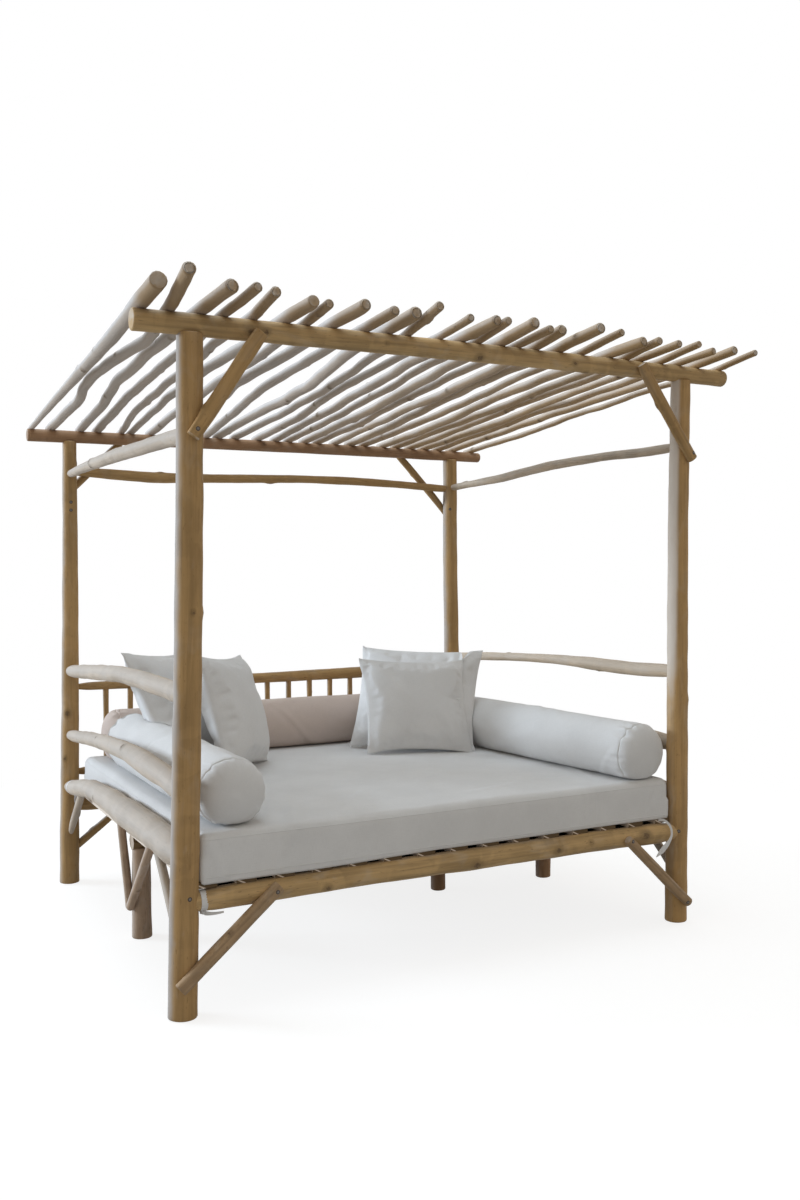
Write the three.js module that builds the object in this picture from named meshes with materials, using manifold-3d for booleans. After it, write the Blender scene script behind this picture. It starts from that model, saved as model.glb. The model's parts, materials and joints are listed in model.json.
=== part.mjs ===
// Outdoor daybed with a roof of branches.
// Four round posts carry two beams, and peeled branches lie across them as a canopy.
// A slatted bed between the posts carries a mattress, three bolsters and four loose pillows.
// Millimetres, +Z up, +X to the right along the front, +Y to the back.

import * as THREE from 'three';
import { mergeVertices } from 'three/addons/utils/BufferGeometryUtils.js';
import Module from 'manifold-3d';

const wasm = await Module();
wasm.setup();

// Driving dimensions of the frame
const post_spacing_x = 2000;
const post_spacing_y = 1710;
const front_beam_height = 2148;
const back_beam_height = 1982;
const front_beam_left_overhang = 136;
const front_beam_right_overhang = 233;
const back_beam_left_overhang = 155;
const back_beam_right_overhang = 152;
const slat_top_height = 414;

// Fits
const touch_gap = 0.3;
const mortise_clearance = 0.3;
const saddle_depth = 7;
const brace_lap_depth = 9;
const foot_trim = 6;

// Posts: radius at the foot and at the top, and how far the top leans to the right of the foot
const post_sizes = {
  front_left_post: { foot_radius: 44, top_radius: 39, lean_offset: 45, bow_offset: 5 },
  front_right_post: { foot_radius: 42, top_radius: 37, lean_offset: 18, bow_offset: -4 },
  back_left_post: { foot_radius: 43, top_radius: 30, lean_offset: 25, bow_offset: 4 },
  back_right_post: { foot_radius: 41, top_radius: 36, lean_offset: -22, bow_offset: -5 },
};

// Beams: radius at the left and right ends
const front_beam_left_radius = 35;
const front_beam_right_radius = 31;
const back_beam_left_radius = 27;
const back_beam_right_radius = 25;
const beam_bow_height = 4;

// Rails between two posts: rise at the start and the end over their level, radii, and the bow between.
// The level of the tie rails is that of the beam on each post, and that of all others is the slats' top.
const rail_sizes = {
  front_bed_rail: { start_height: -57, end_height: -58, start_radius: 37, end_radius: 39, bow_height: 11 },
  back_bed_rail: { start_height: -62, end_height: -64, start_radius: 40, end_radius: 42, bow_height: 5 },
  left_bed_rail: { start_height: 89, end_height: 16, start_radius: 53, end_radius: 33, bow_height: 47 },
  right_bed_rail: { start_height: 84, end_height: 22, start_radius: 50, end_radius: 36, bow_height: 38 },
  left_upper_arm: { start_height: 591, end_height: 531, start_radius: 33, end_radius: 28, bow_height: 27 },
  left_lower_arm: { start_height: 291, end_height: 246, start_radius: 38, end_radius: 25, bow_height: 43 },
  right_upper_arm: { start_height: 571, end_height: 516, start_radius: 28, end_radius: 19, bow_height: 17 },
  right_lower_arm: { start_height: 286, end_height: 251, start_radius: 34, end_radius: 26, bow_height: 26 },
  left_tie_rail: { start_height: -334, end_height: -164, start_radius: 27, end_radius: 18, bow_height: 9 },
  right_tie_rail: { start_height: -282, end_height: -170, start_radius: 19, end_radius: 17, bow_height: 21 },
  back_tie_rail: { start_height: -152, end_height: -174, start_radius: 21, end_radius: 19, bow_height: 16 },
};

// Each row is the place along a rail, its rise as a share of the bow, its sideways share and its girth share
const rail_bend_shares = {
  front_bed_rail: [[0.3, 0.8, 0.2, 1.02], [0.55, 1, -0.3, 1.08], [0.8, 0.5, 0.2, 1]],
  back_bed_rail: [[0.3, 0.8, -0.2, 1.02], [0.7, -0.5, 0.4, 1]],
  left_bed_rail: [
    [0.14, 0.3, 0, 1.02], [0.36, 0.6, 0.05, 1.15], [0.56, 0.94, 0.1, 1.05], [0.72, 1, 0.1, 1],
    [0.87, 0.43, 0, 1],
  ],
  right_bed_rail: [[0.2, 0.4, 0, 1], [0.45, 0.8, -0.1, 1.1], [0.68, 1, -0.1, 1.02], [0.86, 0.4, 0, 1]],
  left_upper_arm: [
    [0.14, 0.3, 0, 1], [0.29, 0.74, 0.1, 1.02], [0.46, 1, 0.1, 1], [0.66, 0.67, 0, 1.06],
    [0.88, 0.2, 0, 1],
  ],
  left_lower_arm: [
    [0.1, 0.3, 0, 1], [0.22, 0.64, 0.1, 1.16], [0.38, 1, 0.1, 1.05], [0.57, 0.92, 0.1, 1.02],
    [0.75, 0.6, 0, 1],
  ],
  right_upper_arm: [
    [0.14, -0.2, 0, 1.03], [0.28, 0.37, 0, 1.12], [0.46, 1, -0.1, 0.9], [0.65, 0.94, 0, 0.86],
    [0.82, 0.55, 0, 1],
  ],
  right_lower_arm: [[0.2, 0.5, 0, 1.05], [0.42, 1, -0.1, 1.08], [0.65, 0.8, 0, 1]],
  left_tie_rail: [
    [0.18, 0.5, 0, 1], [0.35, 0.6, 0.4, 1.04], [0.5, 1, 0.5, 1.15], [0.7, 0.9, 0.2, 1.1],
    [0.88, 0.5, 0, 1],
  ],
  right_tie_rail: [
    [0.1, 0.05, 0, 1], [0.28, 0.8, -0.3, 1], [0.5, 1, -0.4, 1.15], [0.74, 0.1, 0, 1.12],
    [0.9, 0.1, 0, 0.95],
  ],
  back_tie_rail: [
    [0.19, -0.7, 0.4, 1.22], [0.31, -0.3, 0.3, 1.03], [0.56, 0.87, -0.2, 0.95],
    [0.7, 1, -0.3, 1.02], [0.84, 0.7, 0, 0.95],
  ],
};

// Tenons: a round peg on each rail end with a cone shoulder that seats in the post
const tenon_radius_share = 0.5;
const tenon_tip_share = 1.2;
const shoulder_start_share = 0.8;
const shoulder_end_share = 1.12;
const shoulder_girth_share = 0.8;
const shoulder_round_share = 0.9;

// Backrest between the back posts
const backrest_top_height = 872;
const backrest_top_left_radius = 18;
const backrest_top_right_radius = 27;
const backrest_low_rise = 78;
const backrest_low_radius = 20;
const backrest_bow_height = 5;
const spindle_count = 16;
const spindle_radius = 13;
const spindle_left_margin = 172;
const spindle_right_margin = 167;
const backrest_bend_shares = [[0.15, -0.2, 0.3, 1.06], [0.45, -1, -0.4, 1.1], [0.7, -0.6, 0.2, 1.14]];

// Braces on the front faces: reach along the beam or rail and overrun past the post. The upper ones
// have their heights over the beam's, the lower ones over the slats' top and as a share of it.
const front_top_brace_sizes = {
  front_top_left_brace: {
    side: -1, reach_length: 222, head_height: -12, foot_height: -348,
    overrun_length: 4, radius: 19,
  },
  front_top_right_brace: {
    side: 1, reach_length: 230, head_height: 10, foot_height: -336,
    overrun_length: 24, radius: 18,
  },
};
const front_low_brace_sizes = {
  front_low_left_brace: {
    side: -1, reach_length: 306, head_height: -33, foot_share: 0.256,
    overrun_length: 26, radius: 19,
  },
  front_low_right_brace: {
    side: 1, reach_length: 283, head_height: -50, foot_share: 0.193,
    overrun_length: 17, radius: 19,
  },
};

// Braces between the back posts and what lies above them, cut to a mitre at both ends;
// the upper ones pass behind the tie rail
const back_brace_offset = 28;
const back_top_brace_sizes = {
  back_top_left_brace: { side: -1, reach_length: 250, foot_height: -242, radius: 17 },
  back_top_right_brace: { side: 1, reach_length: 300, foot_height: -302, radius: 18 },
};
const back_low_brace_sizes = {
  back_low_left_brace: { side: -1, reach_length: 290, foot_share: 0.326, radius: 17 },
  back_low_right_brace: { side: 1, reach_length: 280, foot_share: 0.338, radius: 18 },
};

// Struts under the side bed rails
const strut_radius = 16;
const front_strut_reach_length = 330;
const front_strut_foot_share = 0.447;
const back_strut_reach_length = 255;
const back_strut_foot_share = 0.512;

// Middle legs under the slats, with the V struts of the two outer ones
const leg_sizes = {
  left_middle_leg: { left_share: 0.045, front_share: 0.4778, foot_radius: 38, top_radius: 34 },
  centre_middle_leg: { left_share: 0.6935, front_share: 0.479, foot_radius: 32, top_radius: 31 },
  right_middle_leg: { left_share: 0.952, front_share: 0.4485, foot_radius: 34, top_radius: 33 },
};
const v_strut_radius = 16;
const v_strut_foot_share = 0.285;
const v_strut_lap_depth = 9;
const v_strut_front_reach_length = 400;
const v_strut_back_reach_length = 75;
const v_strut_rail_inset_depth = 22;

// Slats and the bearer that carries their middle
const slat_thickness = 18;
const slat_width = 68;
const slat_count = 15;
const slat_side_margin = 36;
const slat_front_overhang = 8;
const slat_back_overhang = 12;
const bearer_radius = 31;
const bearer_end_length = 36;
const bearer_lap_depth = 3;

// Roof branches
const branch_radius = 23;
const branch_nose_length = 300;
const branch_tail_length = 60;
const branch_bend_width = 60;
const branch_rise_height = 9;
const branch_seat_depth = 5;
const branch_nose_spread_width = 40;

// One row for each branch from left to right: its place on the front beam and on the back beam,
// the reach of its nose, the nose's sideways share, its girth at the nose and at the tail,
// and its sideways bend at the three places named below
const branch_bend_places_share = [0.2, 0.46, 0.74];
const branch_shares = [
  [0.013, 0.009, 0.62, 0.05, 1.18, 0.5, 0.1, 0.05, 0.0],
  [0.051, 0.046, 1.08, -1.0, 0.9, 0.85, 0.4, -0.55, 0.1],
  [0.092, 0.101, 0.75, 0.6, 0.97, 0.8, -0.35, -0.7, -0.2],
  [0.125, 0.134, 0.86, 0.3, 0.72, 0.85, -0.1, -0.4, -0.3],
  [0.164, 0.180, 0.77, -0.3, 0.78, 0.62, -0.5, -0.6, -0.75],
  [0.212, 0.199, 0.6, 0.55, 0.95, 0.62, -0.45, -0.8, -0.55],
  [0.243, 0.239, 0.63, -0.15, 0.72, 0.8, -0.1, -0.3, -0.25],
  [0.283, 0.29, 0.68, 0.5, 0.93, 0.82, -0.35, -0.75, -0.3],
  [0.331, 0.352, 0.63, 0.4, 0.78, 0.8, -0.65, -0.95, -0.5],
  [0.369, 0.379, 0.6, 0.2, 0.98, 0.86, -0.05, 0.75, 0.1],
  [0.401, 0.414, 0.94, -0.95, 0.72, 0.72, 0.45, 0.8, 0.6],
  [0.452, 0.464, 0.73, -0.2, 0.62, 0.8, -0.45, -0.35, 0.1],
  [0.49, 0.503, 0.67, 0.4, 0.88, 0.74, -0.4, -0.1, -0.1],
  [0.517, 0.533, 0.76, -0.5, 0.66, 0.72, -0.2, 0.1, 0.1],
  [0.558, 0.57, 0.73, -0.2, 0.92, 0.8, -0.3, 0.2, 0.1],
  [0.588, 0.599, 0.66, 0.05, 0.66, 0.7, -0.1, -0.1, 0.2],
  [0.62, 0.639, 0.63, -0.5, 0.85, 0.72, 0.55, 0.4, 0.2],
  [0.663, 0.677, 0.85, 0.15, 0.88, 0.8, -0.35, -0.25, 0.1],
  [0.705, 0.71, 0.84, -0.35, 0.62, 0.76, -0.2, 0.25, 0.15],
  [0.759, 0.755, 0.58, 0.6, 0.85, 0.74, -0.4, -0.2, 0.15],
  [0.796, 0.79, 0.72, -0.6, 0.66, 0.78, -0.1, 0.15, -0.1],
  [0.823, 0.825, 0.7, 0.2, 0.66, 0.72, -0.05, -0.2, 0.1],
  [0.865, 0.86, 0.79, -0.6, 0.6, 0.8, -0.2, 0.2, 0.2],
  [0.9, 0.895, 0.61, 0.45, 0.62, 0.7, 0.1, -0.25, -0.1],
  [0.943, 0.933, 0.7, -0.1, 0.74, 0.72, 0.05, -0.2, -0.15],
  [0.991, 0.979, 0.76, -0.75, 0.52, 0.6, -0.3, -0.2, 0.1],
];
// Branches that touch at one place are one grown pair: the number of the left one of each pair
const grown_pairs = [9, 12, 16, 19];
const nose_kiss_share = 0.8;

// Mattress
const mattress_thickness = 154;
const mattress_side_clearance = 4;
const mattress_front_overhang = 8;
const mattress_back_clearance = 40;
const mattress_edge_radius = 34;
const mattress_corner_radius = 36;
const mattress_crown_height = 6;
const mattress_pull_depth = 9;
const mattress_edge_turn_shares = [-1, -0.55, 0, 0.55, 1];
const mattress_crown_shares = [0.72, 0.36, 0.02];

// Bolsters
const bolster_radius = 113;
const bolster_sink_depth = 9;
const bolster_dome_length = 60;
const bolster_dome_fullness_share = 0.8;
const bolster_crown_height = 4;
const left_bolster_side_margin = 22;
const right_bolster_side_overlap = 11;
const right_bolster_swing_offset = 122;
const right_bolster_front_overhang = 18;
const bolster_front_margin = 22;
const bolster_back_gap = 12;
const back_bolster_margin = 48;
const back_bolster_back_gap = 52;

// Pillows: size, thickness, place on the mattress, turn to the left, lean to the back and roll
const pillow_seam_thickness = 3;
const pillow_sink_depth = 6;
const pillow_pull_share = 0.09;
const pillow_fullness_share = 0.42;
const pillow_sizes = {
  right_front_pillow: {
    width: 482, height: 442, thickness: 150, left_offset: 1360, front_offset: 950,
    turn_degrees: -17, lean_degrees: 20, roll_degrees: 2,
  },
  right_back_pillow: {
    width: 580, height: 477, thickness: 160, left_offset: 1400, front_offset: 1061,
    turn_degrees: -36, lean_degrees: 25, roll_degrees: 1.7,
  },
  left_front_pillow: {
    width: 471, height: 482, thickness: 185, left_offset: 581, front_offset: 951,
    turn_degrees: 50, lean_degrees: 16, roll_degrees: 4,
  },
  left_back_pillow: {
    width: 470, height: 528, thickness: 180, left_offset: 420, front_offset: 1062,
    turn_degrees: 45, lean_degrees: 28, roll_degrees: 5,
  },
};

// Face counts
const post_sides = 12;
const rail_sides = 8;
const branch_sides = 7;
const branch_steps = [1, 2, 2, 2, 2, 1];
const brace_sides = 8;
const spindle_sides = 6;
const bolster_sides = 16;
const pillow_grid = 10;
const oval_share = 0.03;
const oval_turn_share = 0.9;
const steep_share = 0.7;

// Materials
const wood = new THREE.MeshStandardMaterial({ color: 0x9a7a50, roughness: 0.68, metalness: 0 });
const pale_wood = new THREE.MeshStandardMaterial({ color: 0xb79f7c, roughness: 0.72, metalness: 0 });
const branch_wood = new THREE.MeshStandardMaterial({ color: 0x9c8f7a, roughness: 0.78, metalness: 0 });
const white_fabric = new THREE.MeshStandardMaterial({ color: 0xd9d9da, roughness: 0.9, metalness: 0 });
const taupe_fabric = new THREE.MeshStandardMaterial({ color: 0xc9b8ae, roughness: 0.9, metalness: 0 });

// Solids

function solidFrom(points, triangles) {
  const mesh = new wasm.Mesh({
    numProp: 3,
    vertProperties: new Float32Array(points),
    triVerts: new Uint32Array(triangles),
  });
  return new wasm.Manifold(mesh);
}

function solidOf(geometry) {
  geometry.deleteAttribute('normal');
  geometry.deleteAttribute('uv');
  const merged = mergeVertices(geometry);
  return solidFrom(merged.attributes.position.array, merged.index.array);
}

function geometryOf(solid) {
  const mesh = solid.getMesh();
  const geometry = new THREE.BufferGeometry();
  geometry.setAttribute('position', new THREE.BufferAttribute(mesh.vertProperties, 3));
  geometry.setIndex(new THREE.BufferAttribute(mesh.triVerts, 1));
  geometry.computeVertexNormals();
  return geometry;
}

// A shape is a function that gives its solid, grown on all sides by the amount it is called with
function joined(shapes, grow = 0) {
  return shapes.map((shape) => shape(grow)).reduce((whole, piece) => whole.add(piece));
}

function fitted(solid, neighbours, gap = touch_gap) {
  return neighbours.reduce((rest, shape) => rest.subtract(shape(gap)), solid);
}

// Rings of points, each closed on itself, skinned from the first ring to the last and capped flat
function skinned(rings) {
  const count = rings[0].length;
  const points = rings.flat().flatMap((point) => [point.x, point.y, point.z]);
  const triangles = [];
  for (let ring = 0; ring < rings.length - 1; ring++) {
    for (let side = 0; side < count; side++) {
      const a = ring * count + side;
      const b = ring * count + (side + 1) % count;
      triangles.push(a, b, b + count, a, b + count, a + count);
    }
  }
  const top = (rings.length - 1) * count;
  for (let side = 1; side < count - 1; side++) {
    triangles.push(0, side + 1, side, top, top + side, top + side + 1);
  }
  return solidFrom(points, triangles);
}

// Limbs: round wood along a smooth line, with a radius at each point of the line

const across = new THREE.Vector3(1, 0, 0);
const upward = new THREE.Vector3(0, 0, 1);

// Each stretch between two points of the line has its own count of steps
function limb(points, radii, { sides = rail_sides, steps = 2 } = {}) {
  const curve = new THREE.CatmullRomCurve3(points, false, 'centripetal');
  const counts = Array.isArray(steps) ? steps : Array(radii.length - 1).fill(steps);
  const places = counts.flatMap((count, i) => Array.from({ length: count }, (_, k) => i + k / count));
  return { curve, radii, sides, places: [...places, radii.length - 1] };
}

function radiusAlong({ radii }, place) {
  const index = Math.min(Math.floor(place), radii.length - 2);
  return THREE.MathUtils.lerp(radii[index], radii[index + 1], place - index);
}

function limbShape(branch) {
  const { curve, radii, sides, places } = branch;
  const last = radii.length - 1;
  const run = curve.getPoint(1).sub(curve.getPoint(0)).normalize();
  const reference = Math.abs(run.z) > steep_share ? across : upward;
  const turn = (2 * Math.PI) / sides;
  const even = Math.sqrt(turn / Math.sin(turn));
  return (grow = 0) => skinned(places.map((place) => {
    const tangent = curve.getTangent(place / last);
    const centre = curve.getPoint(place / last);
    if (place === 0) centre.addScaledVector(tangent, -grow);
    if (place === last) centre.addScaledVector(tangent, grow);
    const side = new THREE.Vector3().crossVectors(tangent, reference).normalize();
    const up = new THREE.Vector3().crossVectors(side, tangent);
    const radius = radiusAlong(branch, place) * even;
    return Array.from({ length: sides }, (_, k) => {
      const angle = turn * k;
      const oval = 1 + oval_share * Math.sin(2 * angle + oval_turn_share * place);
      const reach = radius * oval + grow;
      return centre.clone()
        .addScaledVector(side, -reach * Math.cos(angle))
        .addScaledVector(up, reach * Math.sin(angle));
    });
  }));
}

// The centre and radius of a limb where it crosses a plane square to an axis
function sectionAt(branch, axis, value) {
  const rising = branch.curve.getPoint(1)[axis] > branch.curve.getPoint(0)[axis];
  let low = 0;
  let high = 1;
  for (let round = 0; round < 40; round++) {
    const middle = (low + high) / 2;
    const before = (branch.curve.getPoint(middle)[axis] < value) === rising;
    if (before) low = middle;
    else high = middle;
  }
  const centre = branch.curve.getPoint(low);
  return { centre, radius: radiusAlong(branch, low * (branch.radii.length - 1)) };
}

// Scene graph: pieces sit in three groups, each mesh on its own anchor point

const bed_group = new THREE.Group();
const canopy_group = new THREE.Group();
const cushion_group = new THREE.Group();

function addPiece(group, name, solid, material, frame) {
  const geometry = geometryOf(solid).applyMatrix4(frame.clone().invert());
  const mesh = new THREE.Mesh(geometry, material.clone());
  mesh.name = name;
  mesh.applyMatrix4(frame);
  group.add(mesh);
}

function anchoredAt(point) {
  return new THREE.Matrix4().makeTranslation(point.x, point.y, point.z);
}

// Posts

const left_x = -post_spacing_x / 2;
const right_x = post_spacing_x / 2;
const front_y = -post_spacing_y / 2;
const back_y = post_spacing_y / 2;

function beamLimb(height, left_overhang, right_overhang, left_radius, right_radius, y) {
  const start = left_x - left_overhang;
  const end = right_x + right_overhang;
  const places = [0, 0.25, 0.5, 0.75, 1];
  const points = places.map((share) => new THREE.Vector3(
    THREE.MathUtils.lerp(start, end, share),
    y + beam_bow_height * Math.sin(2 * Math.PI * share),
    height + beam_bow_height * (Math.sin(Math.PI * share) - share),
  ));
  return limb(points, places.map((share) => THREE.MathUtils.lerp(left_radius, right_radius, share)));
}

const front_beam = beamLimb(
  front_beam_height, front_beam_left_overhang, front_beam_right_overhang,
  front_beam_left_radius, front_beam_right_radius, front_y,
);
const back_beam = beamLimb(
  back_beam_height, back_beam_left_overhang, back_beam_right_overhang,
  back_beam_left_radius, back_beam_right_radius, back_y,
);

function postLimb({ foot_radius, top_radius, lean_offset, bow_offset }, x, y, beam) {
  const seat = sectionAt(beam, 'x', x + lean_offset);
  const top = seat.centre.z - seat.radius + saddle_depth;
  const places = [0, 0.25, 0.5, 0.75, 1];
  const points = places.map((share) => new THREE.Vector3(
    x + lean_offset * share + bow_offset * Math.sin(Math.PI * share),
    y + bow_offset * Math.sin(2 * Math.PI * share),
    THREE.MathUtils.lerp(-foot_trim, top, share),
  ));
  const radii = places.map((share) => THREE.MathUtils.lerp(foot_radius, top_radius, share));
  return limb(points, radii, { sides: post_sides, steps: 1 });
}

const posts = {
  front_left_post: postLimb(post_sizes.front_left_post, left_x, front_y, front_beam),
  front_right_post: postLimb(post_sizes.front_right_post, right_x, front_y, front_beam),
  back_left_post: postLimb(post_sizes.back_left_post, left_x, back_y, back_beam),
  back_right_post: postLimb(post_sizes.back_right_post, right_x, back_y, back_beam),
};

// Rails with a tenon at each end

// The stations of one rail end: distance from the post's axis and the radius there
function tenonStations(post_radius, rail_radius) {
  const tenon_radius = rail_radius * tenon_radius_share;
  return [
    [tenon_radius * tenon_tip_share, tenon_radius],
    [post_radius * shoulder_start_share, tenon_radius],
    [post_radius * shoulder_end_share, rail_radius * shoulder_girth_share],
    [post_radius * shoulder_end_share + rail_radius * shoulder_round_share, rail_radius],
  ];
}

function railLimb(sizes, bends, start_post, end_post, levels, sides = rail_sides) {
  const start = sectionAt(start_post, 'z', levels[0] + sizes.start_height);
  const end = sectionAt(end_post, 'z', levels[1] + sizes.end_height);
  const run = end.centre.clone().sub(start.centre);
  const length = run.length();
  const direction = run.clone().normalize();
  const sideways = new THREE.Vector3().crossVectors(upward, direction).normalize();
  const points = [];
  const radii = [];
  for (const [distance, radius] of tenonStations(start.radius, sizes.start_radius)) {
    points.push(start.centre.clone().addScaledVector(direction, distance));
    radii.push(radius);
  }
  for (const [share, rise, swing, girth] of bends) {
    points.push(start.centre.clone().addScaledVector(run, share)
      .addScaledVector(upward, sizes.bow_height * rise)
      .addScaledVector(sideways, sizes.bow_height * swing));
    radii.push(THREE.MathUtils.lerp(sizes.start_radius, sizes.end_radius, share) * girth);
  }
  for (const [distance, radius] of tenonStations(end.radius, sizes.end_radius).reverse()) {
    points.push(start.centre.clone().addScaledVector(direction, length - distance));
    radii.push(radius);
  }
  return limb(points, radii, { sides, steps: 1 });
}

const rail_posts = {
  front_bed_rail: ['front_left_post', 'front_right_post'],
  back_bed_rail: ['back_left_post', 'back_right_post'],
  left_bed_rail: ['front_left_post', 'back_left_post'],
  right_bed_rail: ['front_right_post', 'back_right_post'],
  left_upper_arm: ['front_left_post', 'back_left_post'],
  left_lower_arm: ['front_left_post', 'back_left_post'],
  right_upper_arm: ['front_right_post', 'back_right_post'],
  right_lower_arm: ['front_right_post', 'back_right_post'],
  left_tie_rail: ['front_left_post', 'back_left_post'],
  right_tie_rail: ['front_right_post', 'back_right_post'],
  back_tie_rail: ['back_left_post', 'back_right_post'],
};

function railLevel(rail, post) {
  if (!rail.includes('tie')) return slat_top_height;
  return post.startsWith('front') ? front_beam_height : back_beam_height;
}

const rails = {};
for (const [name, [start, end]] of Object.entries(rail_posts)) {
  const levels = [railLevel(name, start), railLevel(name, end)];
  rails[name] = railLimb(rail_sizes[name], rail_bend_shares[name], posts[start], posts[end], levels);
}

// Backrest: two rails and a row of spindles

function backrestRail(height, start_radius, end_radius) {
  const sizes = {
    start_height: 0, end_height: 0, start_radius, end_radius, bow_height: backrest_bow_height,
  };
  const { back_left_post, back_right_post } = posts;
  const levels = [height, height];
  return railLimb(sizes, backrest_bend_shares, back_left_post, back_right_post, levels, brace_sides);
}

const backrest_top = backrestRail(backrest_top_height, backrest_top_left_radius, backrest_top_right_radius);
const backrest_low_height = slat_top_height + backrest_low_rise;
const backrest_low = backrestRail(backrest_low_height, backrest_low_radius, backrest_low_radius);

const spindles = Array.from({ length: spindle_count }, (_, i) => {
  const share = i / (spindle_count - 1);
  const x = THREE.MathUtils.lerp(left_x + spindle_left_margin, right_x - spindle_right_margin, share);
  const foot = sectionAt(backrest_low, 'x', x).centre;
  const head = sectionAt(backrest_top, 'x', x).centre;
  return limb([foot, head], [spindle_radius, spindle_radius], { sides: spindle_sides, steps: 1 });
});
const backrest_shapes = [backrest_top, backrest_low, ...spindles].map(limbShape);

// Slat deck: flat slats from front to back, let into a round bearer

const slat_bottom = slat_top_height - slat_thickness;
function legPlace(sizes, height) {
  const x = left_x + post_spacing_x * sizes.left_share;
  const y = front_y + post_spacing_y * sizes.front_share;
  return new THREE.Vector3(x, y, height);
}

const leg_top_height = slat_bottom - bearer_radius + bearer_lap_depth;
const leg_tops = Object.values(leg_sizes).map((sizes) => legPlace(sizes, leg_top_height));
const bearer_start = leg_tops[0].clone().addScaledVector(across, -bearer_end_length);
const bearer_stop = leg_tops[2].clone().addScaledVector(across, bearer_end_length);
const bearer_radii = Array(leg_tops.length + 2).fill(bearer_radius);
const bearer = limb([bearer_start, ...leg_tops, bearer_stop], bearer_radii, { steps: 1 });

const slat_front = front_y - slat_front_overhang;
const slat_back = back_y + slat_back_overhang;
const slat_first = left_x + post_sizes.front_left_post.foot_radius + slat_side_margin;
const slat_last = right_x - post_sizes.front_right_post.foot_radius - slat_side_margin;

function boxShape(low, high) {
  return (grow = 0) => {
    const size = high.clone().sub(low).addScalar(2 * grow);
    const centre = high.clone().add(low).multiplyScalar(0.5);
    const box = new THREE.BoxGeometry(size.x, size.y, size.z);
    return solidOf(box.translate(centre.x, centre.y, centre.z));
  };
}

const slat_shapes = Array.from({ length: slat_count }, (_, i) => {
  const x = THREE.MathUtils.lerp(slat_first, slat_last, i / (slat_count - 1));
  const low = new THREE.Vector3(x - slat_width / 2, slat_front, slat_bottom);
  const high = new THREE.Vector3(x + slat_width / 2, slat_back, slat_top_height);
  return boxShape(low, high);
});

// The planed seat on the bed rails: all that stands above the slats' underside
const planed_seat = boxShape(
  new THREE.Vector3(left_x, front_y - post_spacing_y, slat_bottom),
  new THREE.Vector3(right_x, back_y + post_spacing_y, slat_top_height + post_spacing_y),
);

// The ground: the feet of the posts and legs are sawn level on it
const ground = boxShape(
  new THREE.Vector3(left_x - post_spacing_x, front_y - post_spacing_y, -post_spacing_y),
  new THREE.Vector3(right_x + post_spacing_x, back_y + post_spacing_y, 0),
);

// Side bed rails with the short struts that tie them to the posts

function sideStrut(rail, post, foot_share, reach_length) {
  const at_post = sectionAt(post, 'z', slat_top_height * foot_share).centre;
  const at_rail = sectionAt(rail, 'y', at_post.y + reach_length);
  const top = at_rail.centre.clone().addScaledVector(upward, -at_rail.radius / 2);
  return limb([at_post, top], [strut_radius, strut_radius], { sides: brace_sides, steps: 2 });
}

const side_struts = {};
for (const side of ['left', 'right']) {
  const rail = rails[`${side}_bed_rail`];
  side_struts[side] = [
    sideStrut(rail, posts[`front_${side}_post`], front_strut_foot_share, front_strut_reach_length),
    sideStrut(rail, posts[`back_${side}_post`], back_strut_foot_share, -back_strut_reach_length),
  ];
}

// Middle legs, the outer ones with two struts that rise to the side bed rail

const v_struts = {};
for (const [side, sign] of [['left', -1], ['right', 1]]) {
  const sizes = leg_sizes[`${side}_middle_leg`];
  const rail = rails[`${side}_bed_rail`];
  const foot = legPlace(sizes, slat_top_height * v_strut_foot_share);
  foot.x += sign * (sizes.foot_radius + v_strut_radius - v_strut_lap_depth);
  v_struts[side] = [-v_strut_front_reach_length, v_strut_back_reach_length].map((reach) => {
    const seat = sectionAt(rail, 'y', foot.y + reach);
    const head = seat.centre.clone();
    head.addScaledVector(across, -sign * v_strut_rail_inset_depth);
    head.addScaledVector(upward, -seat.radius / 2);
    return limb([foot, head], [v_strut_radius, v_strut_radius], { sides: brace_sides, steps: 2 });
  });
}

function legLimb(sizes) {
  const top = slat_bottom - 2 * bearer_radius + bearer_lap_depth + saddle_depth;
  const foot = legPlace(sizes, -foot_trim);
  const head = new THREE.Vector3(foot.x, foot.y, top);
  return limb([foot, head], [sizes.foot_radius, sizes.top_radius], { sides: rail_sides, steps: 2 });
}

const legs = {};
for (const [name, sizes] of Object.entries(leg_sizes)) legs[name] = legLimb(sizes);

// Braces

function frontBrace({ side, reach_length, overrun_length, radius }, carrier, foot_height, head_height) {
  const post = side < 0 ? posts.front_left_post : posts.front_right_post;
  const low = sectionAt(post, 'z', foot_height);
  const high = sectionAt(carrier, 'x', low.centre.x - side * reach_length);
  const foot = low.centre.clone();
  foot.x += side * overrun_length;
  foot.y -= low.radius + radius - brace_lap_depth;
  const head = high.centre.clone();
  head.y -= high.radius + radius - brace_lap_depth;
  head.z = head_height;
  return limb([foot, head], [radius, radius], { sides: brace_sides, steps: 3 });
}

function backBrace({ side, reach_length, radius }, carrier, foot_height, offset) {
  const post = side < 0 ? posts.back_left_post : posts.back_right_post;
  const foot = sectionAt(post, 'z', foot_height).centre;
  const head = sectionAt(carrier, 'x', foot.x - side * reach_length).centre;
  foot.y += offset;
  head.y += offset;
  return limb([foot, head], [radius, radius], { sides: brace_sides, steps: 2 });
}

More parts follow.
